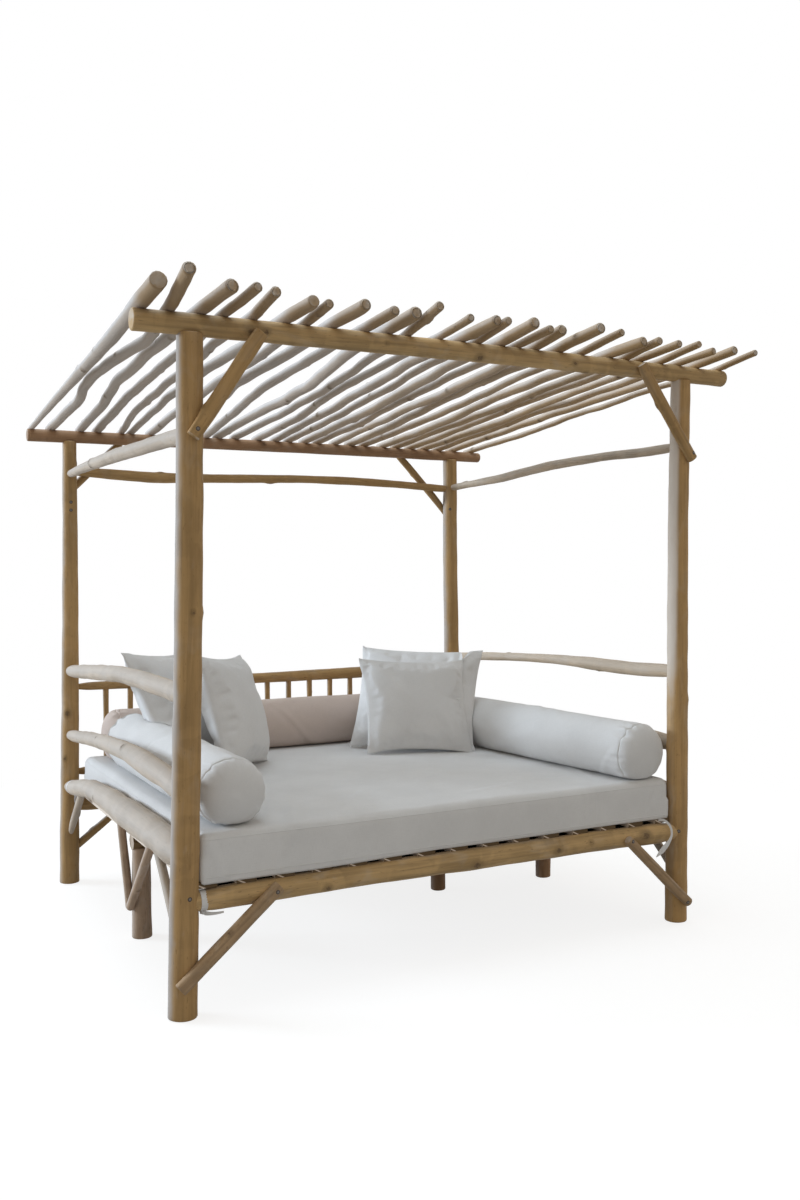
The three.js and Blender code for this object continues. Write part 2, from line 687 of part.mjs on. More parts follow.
const braces = {};
for (const [name, sizes] of Object.entries(front_top_brace_sizes)) {
  const foot_height = front_beam_height + sizes.foot_height;
  braces[name] = frontBrace(sizes, front_beam, foot_height, front_beam_height + sizes.head_height);
}
for (const [name, sizes] of Object.entries(front_low_brace_sizes)) {
  const foot_height = slat_top_height * sizes.foot_share;
  braces[name] = frontBrace(sizes, rails.front_bed_rail, foot_height, slat_top_height + sizes.head_height);
}
for (const [name, sizes] of Object.entries(back_top_brace_sizes)) {
  braces[name] = backBrace(sizes, back_beam, back_beam_height + sizes.foot_height, back_brace_offset);
}
for (const [name, sizes] of Object.entries(back_low_brace_sizes)) {
  braces[name] = backBrace(sizes, rails.back_bed_rail, slat_top_height * sizes.foot_share, 0);
}

// Roof branches

function seatOn(beam, share, radius) {
  const start = beam.curve.getPoint(0).x;
  const end = beam.curve.getPoint(1).x;
  const { centre, radius: beam_radius } = sectionAt(beam, 'x', THREE.MathUtils.lerp(start, end, share));
  return centre.addScaledVector(upward, beam_radius + radius - branch_seat_depth);
}

function branchLimb([front, back, nose_reach, nose_side, nose_girth, tail_girth, ...bends]) {
  const nose_radius = branch_radius * nose_girth;
  const tail_radius = branch_radius * tail_girth;
  const front_seat = seatOn(front_beam, front, nose_radius);
  const back_seat = seatOn(back_beam, back, tail_radius);
  const run = back_seat.clone().sub(front_seat);
  const slope = run.z / run.y;
  const nose_y = -branch_nose_length * nose_reach;
  const nose = front_seat.clone().add(new THREE.Vector3(
    branch_nose_spread_width * nose_side, nose_y, nose_y * slope,
  ));
  const middle = bends.map((bend, i) => front_seat.clone()
    .addScaledVector(run, branch_bend_places_share[i])
    .addScaledVector(across, branch_bend_width * bend)
    .addScaledVector(upward, branch_rise_height * bends[(i + 1) % bends.length]));
  const tail = back_seat.clone().add(new THREE.Vector3(0, branch_tail_length, branch_tail_length * slope));
  const points = [nose, front_seat, ...middle, back_seat, tail];
  const radii = [nose_radius, nose_radius];
  for (const share of branch_bend_places_share) {
    radii.push(THREE.MathUtils.lerp(nose_radius, tail_radius, share));
  }
  radii.push(tail_radius, tail_radius);
  return limb(points, radii, { sides: branch_sides, steps: branch_steps });
}

const branches = branch_shares.map(branchLimb);

// A grown pair touches at its noses: the right one swings over until it meets the left one
for (const left of grown_pairs) {
  const pair = [branches[left], branches[left + 1]];
  const [left_nose, right_nose] = pair.map(({ curve }) => curve.points[0]);
  const seat = pair[1].curve.points[1];
  const meeting = sectionAt(pair[0], 'y', Math.max(left_nose.y, right_nose.y)).centre;
  const kiss = meeting.x + (pair[0].radii[0] + pair[1].radii[0]) * nose_kiss_share;
  right_nose.x = seat.x + (kiss - seat.x) * (right_nose.y - seat.y) / (meeting.y - seat.y);
}

// Cushions

// A slab with round edges: rings of a rounded rectangle from the middle of the base to the middle
// of the top, with its sides drawn in between the corners and its top raised to a crown
function mattressShape(centre, width, depth, thickness) {
  const corner_steps = 4;
  const side_steps = 5;
  const outline = (inset, grow) => {
    const half_x = width / 2 - inset + grow;
    const half_y = depth / 2 - inset + grow;
    const corner = mattress_corner_radius - inset + grow;
    const points = [];
    for (let quarter = 0; quarter < 4; quarter++) {
      const cx = [1, -1, -1, 1][quarter] * (half_x - corner);
      const cy = [1, 1, -1, -1][quarter] * (half_y - corner);
      for (let step = 0; step <= corner_steps; step++) {
        const angle = (quarter + step / corner_steps) * Math.PI / 2;
        points.push([cx + corner * Math.cos(angle), cy + corner * Math.sin(angle)]);
      }
      const next_x = [-1, -1, 1, 1][quarter] * (half_x - corner);
      const next_y = [1, -1, -1, 1][quarter] * (half_y - corner);
      const [from_x, from_y] = points[points.length - 1];
      const out_angle = (quarter + 1) * Math.PI / 2;
      const to_x = next_x + corner * Math.cos(out_angle);
      const to_y = next_y + corner * Math.sin(out_angle);
      for (let step = 1; step < side_steps; step++) {
        const share = step / side_steps;
        const pull = mattress_pull_depth * Math.sin(Math.PI * share);
        points.push([
          THREE.MathUtils.lerp(from_x, to_x, share) - pull * Math.cos(out_angle),
          THREE.MathUtils.lerp(from_y, to_y, share) - pull * Math.sin(out_angle),
        ]);
      }
    }
    return points;
  };
  return (grow = 0) => {
    const rise = thickness / 2 - mattress_edge_radius;
    const ring = (points, scale, z) => points.map(([x, y]) => new THREE.Vector3(
      centre.x + x * scale, centre.y + y * scale, centre.z + z,
    ));
    const rings = mattress_edge_turn_shares.map((share) => {
      const angle = (share * Math.PI) / 2;
      const inset = mattress_edge_radius * (1 - Math.cos(angle));
      const z = Math.sign(angle) * rise + (mattress_edge_radius + grow) * Math.sin(angle);
      return ring(outline(inset, grow), 1, z);
    });
    const rim = outline(mattress_edge_radius, grow);
    const top = thickness / 2 + grow;
    for (const scale of mattress_crown_shares) {
      rings.push(ring(rim, scale, top + mattress_crown_height * (1 - scale * scale)));
    }
    return skinned(rings);
  };
}

// A bolster turned on its long axis, with domed ends and a slight crown
function bolsterShape(frame, length, radius) {
  const dome_steps = 4;
  return (grow = 0) => {
    const profile = [];
    for (let step = 0; step <= dome_steps; step++) {
      const angle = (step / dome_steps) * Math.PI / 2;
      profile.push([
        (radius + grow) * Math.sin(angle) ** bolster_dome_fullness_share,
        -length / 2 + bolster_dome_length - (bolster_dome_length + grow) * Math.cos(angle),
      ]);
    }
    profile[0][0] = 0;
    const half = [...profile];
    const middle = [radius + bolster_crown_height + grow, 0];
    const mirrored = half.map(([r, h]) => [r, -h]).reverse();
    const points = [...half, middle, ...mirrored].map(([r, h]) => new THREE.Vector2(r, h));
    const lathe = new THREE.LatheGeometry(points, bolster_sides);
    return solidOf(lathe.applyMatrix4(frame));
  };
}

// A pillow: two crowned faces over a square grid that meet in a thin seam, with the sides drawn in
function pillowShape(frame, width, height, thickness) {
  const spread = (k) => Math.sin((k / pillow_grid - 0.5) * Math.PI);
  return (grow = 0) => {
    const points = [];
    const row = pillow_grid + 1;
    for (const face of [-1, 1]) {
      for (let j = 0; j < row; j++) {
        for (let i = 0; i < row; i++) {
          const u = spread(i);
          const v = spread(j);
          const loft = ((1 - u * u) * (1 - v * v)) ** pillow_fullness_share;
          const point = new THREE.Vector3(
            (width / 2 + grow) * u * (1 - pillow_pull_share * (1 - v * v)),
            face * (pillow_seam_thickness + grow + (thickness / 2 - pillow_seam_thickness) * loft),
            (height / 2 + grow) * v * (1 - pillow_pull_share * (1 - u * u)),
          ).applyMatrix4(frame);
          points.push(point.x, point.y, point.z);
        }
      }
    }
    const triangles = [];
    const back = row * row;
    for (let j = 0; j < pillow_grid; j++) {
      for (let i = 0; i < pillow_grid; i++) {
        const a = j * row + i;
        const [b, c, d] = [a + 1, a + row + 1, a + row];
        triangles.push(a, b, c, a, c, d);
        triangles.push(back + a, back + c, back + b, back + a, back + d, back + c);
      }
    }
    for (let k = 0; k < pillow_grid; k++) {
      const low = k;
      const high = pillow_grid * row + k;
      const left = k * row;
      const right = k * row + pillow_grid;
      triangles.push(low, back + low + 1, low + 1, low, back + low, back + low + 1);
      triangles.push(high, high + 1, back + high + 1, high, back + high + 1, back + high);
      triangles.push(left, left + row, back + left + row, left, back + left + row, back + left);
      triangles.push(right, back + right + row, right + row, right, back + right, back + right + row);
    }
    return solidFrom(points, triangles);
  };
}

const inner_left = left_x + rail_sizes.left_bed_rail.start_radius;
const inner_right = right_x - rail_sizes.right_bed_rail.start_radius;
const mattress_left = inner_left + mattress_side_clearance;
const mattress_right = inner_right - mattress_side_clearance;
const mattress_front = front_y - mattress_front_overhang;
const mattress_back = back_y - backrest_low_radius - mattress_back_clearance;
const mattress_bottom = slat_top_height + touch_gap;
const mattress_top = mattress_bottom + mattress_thickness;
const mattress_centre = new THREE.Vector3(
  (mattress_left + mattress_right) / 2,
  (mattress_front + mattress_back) / 2,
  mattress_bottom + mattress_thickness / 2,
);
const mattress_shape = mattressShape(
  mattress_centre, mattress_right - mattress_left, mattress_back - mattress_front, mattress_thickness,
);

// Bolsters lie on the mattress: one along each arm and one along the back

const bolster_height = mattress_top + bolster_radius - bolster_sink_depth;
const back_bolster_y = mattress_back - back_bolster_back_gap - bolster_radius;
const left_bolster_front = mattress_front + bolster_front_margin;
const right_bolster_front = mattress_front - right_bolster_front_overhang;
const side_bolster_back = back_bolster_y - bolster_radius - bolster_back_gap;
const left_bolster_x = mattress_left + left_bolster_side_margin + bolster_radius;
const right_bolster_x = mattress_right + right_bolster_side_overlap - bolster_radius;

function bolsterFrame(start, end) {
  const middle = start.clone().add(end).multiplyScalar(0.5);
  const direction = end.clone().sub(start).normalize();
  const turn = new THREE.Quaternion().setFromUnitVectors(new THREE.Vector3(0, 1, 0), direction);
  return new THREE.Matrix4().compose(middle, turn, new THREE.Vector3(1, 1, 1));
}

const bolster_ends = {
  left_bolster: [
    new THREE.Vector3(left_bolster_x, left_bolster_front, bolster_height),
    new THREE.Vector3(left_bolster_x, side_bolster_back, bolster_height),
  ],
  right_bolster: [
    new THREE.Vector3(right_bolster_x, right_bolster_front, bolster_height),
    new THREE.Vector3(right_bolster_x - right_bolster_swing_offset, side_bolster_back, bolster_height),
  ],
  back_bolster: [
    new THREE.Vector3(mattress_left + back_bolster_margin, back_bolster_y, bolster_height),
    new THREE.Vector3(mattress_right - back_bolster_margin, back_bolster_y, bolster_height),
  ],
};

const bolsters = {};
for (const [name, [start, end]] of Object.entries(bolster_ends)) {
  const frame = bolsterFrame(start, end);
  bolsters[name] = { frame, shape: bolsterShape(frame, start.distanceTo(end), bolster_radius) };
}

// A rolled pillow stands on its lower corner
function pillowFrame(sizes) {
  const turn = THREE.MathUtils.degToRad(sizes.turn_degrees);
  const lean = THREE.MathUtils.degToRad(sizes.lean_degrees);
  const roll = THREE.MathUtils.degToRad(sizes.roll_degrees);
  const lift = (sizes.width / 2) * Math.sin(Math.abs(roll));
  const foot = new THREE.Vector3(left_x + sizes.left_offset, front_y + sizes.front_offset, mattress_top);
  return new THREE.Matrix4().makeTranslation(foot.x, foot.y, foot.z - pillow_sink_depth + lift)
    .multiply(new THREE.Matrix4().makeRotationZ(turn))
    .multiply(new THREE.Matrix4().makeRotationX(-lean))
    .multiply(new THREE.Matrix4().makeRotationY(roll))
    .multiply(new THREE.Matrix4().makeTranslation(0, 0, sizes.height / 2));
}

const pillows = {};
for (const [name, sizes] of Object.entries(pillow_sizes)) {
  const frame = pillowFrame(sizes);
  pillows[name] = { frame, shape: pillowShape(frame, sizes.width, sizes.height, sizes.thickness) };
}

// Put the pieces together

const rail_shapes = {};
for (const [name, rail] of Object.entries(rails)) rail_shapes[name] = limbShape(rail);
const front_beam_shape = limbShape(front_beam);
const back_beam_shape = limbShape(back_beam);
const post_shapes = {};
for (const [name, post] of Object.entries(posts)) post_shapes[name] = limbShape(post);

for (const [name, post] of Object.entries(posts)) {
  const beam = name.startsWith('front') ? front_beam_shape : back_beam_shape;
  const mortised = Object.entries(rail_posts)
    .filter(([, ends]) => ends.includes(name))
    .map(([rail]) => rail_shapes[rail]);
  if (name.startsWith('back')) mortised.push(limbShape(backrest_top), limbShape(backrest_low));
  const sawn = fitted(post_shapes[name](), [ground], 0);
  const solid = fitted(fitted(sawn, [beam]), mortised, mortise_clearance);
  addPiece(canopy_group, name, solid, wood, anchoredAt(post.curve.getPoint(0)));
}

addPiece(canopy_group, 'front_beam', front_beam_shape(), wood, anchoredAt(front_beam.curve.getPoint(0)));
addPiece(canopy_group, 'back_beam', back_beam_shape(), wood, anchoredAt(back_beam.curve.getPoint(0)));

const all_posts = Object.values(post_shapes);
for (const [name, rail] of Object.entries(rails)) {
  const frame = anchoredAt(rail.curve.getPoint(0));
  if (name === 'front_bed_rail' || name === 'back_bed_rail') {
    addPiece(bed_group, name, fitted(rail_shapes[name](), [planed_seat]), wood, frame);
  } else if (name === 'left_bed_rail' || name === 'right_bed_rail') {
    const struts = side_struts[name.startsWith('left') ? 'left' : 'right'].map(limbShape);
    const trimmed = fitted(joined(struts), all_posts);
    addPiece(bed_group, name, rail_shapes[name]().add(trimmed), pale_wood, frame);
  } else {
    const group = name.includes('tie') ? canopy_group : bed_group;
    addPiece(group, name, rail_shapes[name](), pale_wood, frame);
  }
}

addPiece(bed_group, 'backrest', joined(backrest_shapes), wood, anchoredAt(backrest_low.curve.getPoint(0)));

const bearer_shape = limbShape(bearer);
const v_strut_shapes = Object.values(v_struts).flat().map(limbShape);
const slats = fitted(joined(slat_shapes), [...all_posts, ...v_strut_shapes]);
const deck = fitted(bearer_shape(), [planed_seat], -bearer_lap_depth).add(slats);
addPiece(bed_group, 'slat_deck', deck, pale_wood, anchoredAt(bearer_start));

for (const [name, leg] of Object.entries(legs)) {
  const side = name.split('_')[0];
  const shapes = [leg, ...(v_struts[side] ?? [])].map(limbShape);
  const around = [bearer_shape];
  if (side in v_struts) around.push(rail_shapes[`${side}_bed_rail`]);
  const sawn = fitted(joined(shapes), [ground], 0);
  addPiece(bed_group, name, fitted(sawn, around), wood, anchoredAt(leg.curve.getPoint(0)));
}

for (const [name, brace] of Object.entries(braces)) {
  const group = name.includes('top') ? canopy_group : bed_group;
  const around = [...all_posts, front_beam_shape, back_beam_shape];
  around.push(rail_shapes.front_bed_rail, rail_shapes.back_bed_rail, rail_shapes.back_tie_rail);
  addPiece(group, name, fitted(limbShape(brace)(), around), wood, anchoredAt(brace.curve.getPoint(0)));
}

// Each branch is notched over the beams and shaved where it lies against the branch before it
let branch_before = null;
for (let i = 0; i < branches.length; i++) {
  const paired = grown_pairs.includes(i);
  const shapes = (paired ? [branches[i], branches[i + 1]] : [branches[i]]).map(limbShape);
  const around = [front_beam_shape, back_beam_shape];
  if (branch_before) around.push(branch_before);
  const number = String(i + 1).padStart(2, '0');
  const name = paired ? `roof_branch_pair_${number}` : `roof_branch_${number}`;
  const frame = anchoredAt(branches[i].curve.getPoint(0));
  addPiece(canopy_group, name, fitted(joined(shapes), around), branch_wood, frame);
  branch_before = (grow) => joined(shapes, grow);
  if (paired) i += 1;
}

// Cushions are pressed against what they touch, the larger ones first
const frame_shapes = [...all_posts, ...Object.values(rail_shapes)];
addPiece(
  cushion_group, 'mattress', fitted(mattress_shape(), frame_shapes), white_fabric,
  anchoredAt(mattress_centre),
);
const pressed = [mattress_shape];
for (const [name, { frame, shape }] of Object.entries({ ...bolsters, ...pillows })) {
  const material = name === 'back_bolster' ? taupe_fabric : white_fabric;
  addPiece(cushion_group, name, fitted(shape(), [...frame_shapes, ...pressed]), material, frame);
  pressed.push(shape);
}

// The origin is the middle of the base of the whole object
const daybed = new THREE.Group();
daybed.add(bed_group, canopy_group, cushion_group);
daybed.updateMatrixWorld(true);
const extent = new THREE.Box3().setFromObject(daybed);
const middle = extent.getCenter(new THREE.Vector3());
daybed.position.set(-middle.x, -middle.y, -extent.min.z);
daybed.updateMatrixWorld(true);

export default daybed;
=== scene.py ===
import json
import math

import bpy
import numpy as np
from bpy.props import FloatProperty, FloatVectorProperty, IntProperty, PointerProperty
from mathutils import Matrix, Vector

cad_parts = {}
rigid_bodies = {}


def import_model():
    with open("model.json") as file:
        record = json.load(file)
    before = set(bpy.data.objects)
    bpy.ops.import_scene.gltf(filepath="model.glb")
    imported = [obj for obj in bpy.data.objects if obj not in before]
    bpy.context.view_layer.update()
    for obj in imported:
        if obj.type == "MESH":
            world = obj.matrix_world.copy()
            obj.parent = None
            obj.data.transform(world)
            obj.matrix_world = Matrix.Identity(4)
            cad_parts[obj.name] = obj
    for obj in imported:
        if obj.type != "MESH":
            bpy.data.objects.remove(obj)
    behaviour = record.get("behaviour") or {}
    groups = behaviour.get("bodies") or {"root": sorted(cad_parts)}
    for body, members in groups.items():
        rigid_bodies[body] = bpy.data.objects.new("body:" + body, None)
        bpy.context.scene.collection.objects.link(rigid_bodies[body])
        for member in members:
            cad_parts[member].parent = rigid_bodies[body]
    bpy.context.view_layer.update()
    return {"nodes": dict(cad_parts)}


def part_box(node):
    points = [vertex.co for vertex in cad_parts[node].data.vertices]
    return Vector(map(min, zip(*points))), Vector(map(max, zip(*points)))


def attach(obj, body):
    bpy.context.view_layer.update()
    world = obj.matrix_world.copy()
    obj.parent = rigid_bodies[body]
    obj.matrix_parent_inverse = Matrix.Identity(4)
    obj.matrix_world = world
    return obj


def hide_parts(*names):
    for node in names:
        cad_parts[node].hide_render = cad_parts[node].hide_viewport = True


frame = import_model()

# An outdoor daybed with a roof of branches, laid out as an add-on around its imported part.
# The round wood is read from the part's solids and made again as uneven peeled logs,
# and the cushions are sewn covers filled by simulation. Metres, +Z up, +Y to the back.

bl_info = {
    "name": "Branch Canopy Daybed",
    "version": (1, 0, 0),
    "blender": (4, 5, 0),
    "location": "3D View > Sidebar > Daybed",
    "description": "Builds a pole daybed with a roof of branches and its cushions",
    "category": "Object",
}

NODES = frame["nodes"]
BODY = "root"
UP = np.array([0.0, 0.0, 1.0])
ACROSS = np.array([1.0, 0.0, 0.0])
# The direction of the painted light on the logs: the side of a log that faces it is painted paler.
PAINTED_LIGHT_SIDE = np.array([-0.755, 0.252, 0.605])

SLAT_TOP = 0.414
SLAT_WIDTH = 0.068
SLAT_COUNT = 15
MATTRESS_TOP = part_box("mattress")[1].z - 0.006
POST_FOOT = (-1.03905, -0.72469)

# Settings


class DAYBED_PG_wood(bpy.types.PropertyGroup):
    """Peeled round wood"""
    unevenness: FloatProperty(
        name="Unevenness", description="Swelling of a log as a share of its radius",
        default=0.032, min=0.0, max=0.2, subtype="FACTOR",
    )
    knot_height: FloatProperty(
        name="Knot height", description="How far a knot stands out of the log",
        default=0.0032, min=0.0, max=0.02, unit="LENGTH",
    )
    ring_step: FloatProperty(
        name="Ring step", description="Distance between the rings of points along a log",
        default=0.012, min=0.004, max=0.05, unit="LENGTH",
    )
    tan: FloatVectorProperty(
        name="Tan", description="Colour of the posts and beams",
        default=(0.372, 0.231, 0.098), subtype="COLOR", min=0.0, max=1.0,
    )
    pale: FloatVectorProperty(
        name="Pale", description="Colour of the rails and arms",
        default=(0.475, 0.395, 0.315), subtype="COLOR", min=0.0, max=1.0,
    )
    grey: FloatVectorProperty(
        name="Grey", description="Colour of the roof branches",
        default=(0.40, 0.285, 0.175), subtype="COLOR", min=0.0, max=1.0,
    )


class DAYBED_PG_cushions(bpy.types.PropertyGroup):
    """Mattress, bolsters and pillows"""
    pressure: FloatProperty(
        name="Filling pressure", description="Pressure that fills the sewn covers",
        default=3.0, min=0.0, max=40.0,
    )
    frames: IntProperty(
        name="Frames", description="Steps of the filling simulation",
        default=24, min=1, max=80,
    )
    pucker: FloatProperty(
        name="Pucker", description="Depth of the gathers beside a seam",
        default=0.0022, min=0.0, max=0.01, unit="LENGTH",
    )
    crease: FloatProperty(
        name="Crease", description="Height of the soft creases in the covers",
        default=0.0035, min=0.0, max=0.02, unit="LENGTH",
    )
    white: FloatVectorProperty(
        name="White", description="Colour of the white covers",
        default=(0.725, 0.722, 0.72), subtype="COLOR", min=0.0, max=1.0,
    )
    taupe: FloatVectorProperty(
        name="Taupe", description="Colour of the back bolster's cover",
        default=(0.62, 0.52, 0.465), subtype="COLOR", min=0.0, max=1.0,
    )


class DAYBED_PG_stage(bpy.types.PropertyGroup):
    """Lamps, sky and floor"""
    window: FloatProperty(
        name="Window", description="Power of the large lamp at the left",
        default=2150.0, min=0.0, unit="POWER",
    )
    skylight: FloatProperty(
        name="Skylight", description="Power of the large lamp above",
        default=162.0, min=0.0, unit="POWER",
    )
    front: FloatProperty(
        name="Front lamp", description="Power of the lamp beside the camera",
        default=25.0, min=0.0, unit="POWER",
    )
    fill: FloatProperty(
        name="Fill", description="Strength of the even light from all round",
        default=0.49, min=0.0, max=2.0,
    )
    lens: FloatProperty(
        name="Lens", description="Focal length of the camera",
        default=33.48, min=10.0, max=200.0, unit="CAMERA",
    )


# Shader maths


class Value:
    """A shader socket that takes part in Python expressions."""

    def __init__(self, graph, socket):
        self.graph = graph
        self.socket = socket

    def maths(self, operation, *values):
        return self.graph.node("ShaderNodeMath", {"operation": operation}, *values)

    def __add__(self, other):
        return self.maths("ADD", self, other)

    __radd__ = __add__

    def __sub__(self, other):
        return self.maths("SUBTRACT", self, other)

    def __rsub__(self, other):
        return self.maths("SUBTRACT", other, self)

    def __mul__(self, other):
        return self.maths("MULTIPLY", self, other)

    __rmul__ = __mul__

    def __truediv__(self, other):
        return self.maths("DIVIDE", self, other)

    def __pow__(self, other):
        return self.maths("POWER", self, other)

    def sine(self):
        return self.maths("SINE", self)

    def clamped(self):
        return self.graph.node("ShaderNodeClamp", {}, self)

    def least(self, other):
        return self.maths("MINIMUM", self, other)

    def most(self, other):
        return self.maths("MAXIMUM", self, other)

    def between(self, low, high, start=0.0, end=1.0):
        """The value carried from low..high to start..end with soft ends."""
        return self.graph.node(
            "ShaderNodeMapRange", {"interpolation_type": "SMOOTHSTEP"},
            self, low, high, start, end,
        )


class Graph:
    """The nodes of one material or world."""

    def __init__(self, tree):
        self.tree = tree
        tree.nodes.clear()

    def node(self, kind, settings, *values, out=0, **named):
        """Adds a node: its settings first, then the values or links of its sockets."""
        made = self.tree.nodes.new(kind)
        for name, value in settings.items():
            setattr(made, name, value)
        pairs = [*enumerate(values), *((k.replace("_", " "), v) for k, v in named.items())]
        for key, value in pairs:
            if value is None:
                continue
            socket = made.inputs[key]
            if isinstance(value, Value):
                self.tree.links.new(value.socket, socket)
            else:
                socket.default_value = value
        return Value(self, made.outputs[out]) if made.outputs else None

    def attribute(self, name, out="Vector"):
        return self.node("ShaderNodeAttribute", {"attribute_name": name}, out=out)

    def place(self, out="Object"):
        return self.node("ShaderNodeTexCoord", {}, out=out)

    def scaled(self, vector, scale, shift=(0.0, 0.0, 0.0), turn=(0.0, 0.0, 0.0)):
        return self.node(
            "ShaderNodeMapping", {}, Vector=vector, Scale=scale, Location=shift, Rotation=turn,
        )

    def noise(self, vector, scale, detail=2.0, roughness=0.5, distortion=0.0):
        return self.node(
            "ShaderNodeTexNoise", {}, Vector=vector, Scale=scale, Detail=detail,
            Roughness=roughness, Distortion=distortion,
        )

    def mixed(self, factor, first, second, blend="MIX"):
        """A colour mix: first where the factor is 0 and second where it is 1."""
        made = self.tree.nodes.new("ShaderNodeMix")
        made.data_type = "RGBA"
        made.blend_type = blend
        for index, value in ((0, factor), (6, first), (7, second)):
            if isinstance(value, Value):
                self.tree.links.new(value.socket, made.inputs[index])
            elif index == 0:
                made.inputs[index].default_value = value
            else:
                made.inputs[index].default_value = (*value, 1.0)
        return Value(self, made.outputs[2])

    def bump(self, height, distance, strength=1.0, normal=None):
        return self.node(
            "ShaderNodeBump", {}, Height=height, Distance=distance, Strength=strength, Normal=normal,
        )

    def surface(self, **sockets):
        shader = self.node("ShaderNodeBsdfPrincipled", {}, **sockets)
        self.node("ShaderNodeOutputMaterial", {}, shader)


def shade(colour, share):
    """A colour made darker or lighter by a share."""
    return tuple(min(1.0, part * share) for part in colour)


def new_material(name):
    material = bpy.data.materials.new(name)
    material.use_nodes = True
    return material, Graph(material.node_tree)


def wood_material(name, colour, silver, streak, roughness, painted_light_colour, painted_light_amount, tips=None):
    """Peeled wood that weathered outdoors. The grain follows the attribute 'grain', which holds
    the place across the log and the distance along it, so streaks run with every bend. Sawn
    ends, marked by 'sawn', show growth rings, and 'knot' is the distance from the next knot.
    The side of each log that faces the window is painted in a paler, greyer colour: painted light.
    Where tips is given, it is the colour of the painted shade on what stands out in front of the
    front beam, and the wood is painted paler towards the left, where the light falls, and warmer,
    with less painted light, towards the right."""
    material, g = new_material(name)
    grain = g.attribute("grain")
    knot = g.attribute("knot", "Fac")
    sawn = g.attribute("sawn", "Fac")
    tint = g.attribute("tint", "Fac")
    sun = g.attribute("sun", "Fac")

    patches = g.noise(g.scaled(grain, (9, 9, 3.2)), 1.0, 3.0, 0.55)
    streaks = g.noise(g.scaled(grain, (58, 58, 2.6)), 1.0, 4.0, 0.6, 0.4)
    fibres = g.noise(g.scaled(grain, (330, 330, 9)), 1.0, 3.0, 0.6)
    stains = g.noise(g.scaled(grain, (22, 22, 9)), 1.0, 2.0, 0.5, 0.8)

    bands = g.noise(g.scaled(grain, (6, 6, 10)), 1.0, 2.0, 0.5, 1.2)
    specks = g.noise(g.scaled(grain, (150, 150, 42)), 1.0, 2.0)
    base = g.mixed(patches.between(0.3, 0.7), shade(colour, 0.76), shade(colour, 1.18))
    base = g.mixed(bands.between(0.48, 0.62) * 0.45, base, shade(colour, 1.3))
    base = g.mixed(streaks.between(0.42, 0.78) * streak, base, shade(colour, 0.56))
    base = g.mixed(streaks.between(0.56, 0.3) * (0.55 * streak), base, shade(colour, 1.32))
    base = g.mixed(fibres.between(0.5, 0.8) * 0.32, base, shade(colour, 0.62))
    base = g.mixed(specks.between(0.64, 0.72) * 0.5, base, shade(colour, 0.42))
    grey = (0.56, 0.52, 0.47)
    base = g.mixed(stains.between(0.5, 0.74) * silver, base, grey)
    base = g.mixed(tint.between(-1.0, 1.0) * 0.34, base, shade(colour, 1.3))
    # The branches: painted light makes them paler and greyer towards the left, painted shade makes them warmer
    # towards the right, and the noses in front of the front beam take the browner tips colour as painted
    # shade, with less painted light.
    if tips is not None:
        parts = g.node("ShaderNodeSeparateXYZ", {}, g.place())
        right, back = (Value(g, parts.socket.node.outputs[k]) for k in (0, 1))
        shaded_nose, warm = back.between(-0.70, -0.80), right.between(-0.5, 1.0)
        base = g.mixed((1 - warm) * 0.62, base, (0.47, 0.43, 0.40))
        base = g.mixed(warm * 0.4, base, shade(tips, 1.35))
        base = g.mixed(shaded_nose * 0.8, base, tips)
        painted_light_amount = (1 - shaded_nose * 0.55) * (1 - warm * 0.45) * painted_light_amount
    # Painted light: the side that faces the window is painted in the paler, greyer colour, broken up by the
    # stains and streaks.
    painted_light_mask = sun + (stains - 0.5) * 0.3 + (streaks - 0.5) * 0.25
    base = g.mixed(painted_light_mask.between(0.22, 0.85) * painted_light_amount, base, painted_light_colour)

    wander = g.noise(grain, 210.0, 2.0)
    near = knot + (wander - 0.5) * 0.5
    halo = near.between(1.5, 0.5)
    eye = near.between(0.62, 0.42)
    swirl = (near * 26.0).sine().between(-1.0, 1.0)
    base = g.mixed(halo * 0.6, base, shade(colour, 0.5))
    base = g.mixed(eye * (swirl * 0.3 + 0.45), base, (0.095, 0.058, 0.033))

    across = g.scaled(grain, (1, 1, 0))
    heart = g.node("ShaderNodeVectorMath", {"operation": "LENGTH"}, across, out=1)
    ring_wander = g.noise(across, 46.0, 2.0)
    rings = ((heart + ring_wander * 0.006) * 1500.0).sine().between(-0.7, 0.9)
    end_wood = g.mixed(rings, shade(colour, 1.08), shade(colour, 0.96))
    end_wood = g.mixed(heart.between(0.008, 0.0) * 0.4, end_wood, shade(colour, 0.6))
    end_wood = g.mixed(stains.between(0.35, 0.7) * 0.6, end_wood, grey)
    base = g.mixed(sawn.between(0.35, 0.65), base, end_wood)

    rough = fibres.between(0.2, 0.8, roughness - 0.07, roughness + 0.1)
    relief = fibres * 0.5 + streaks * 0.7 + eye * -0.6 + rings * sawn * 0.4
    g.surface(
        Base_Color=base, Roughness=rough, Normal=g.bump(relief, 0.0016, 0.55),
        Specular_IOR_Level=0.22,
    )
    return material


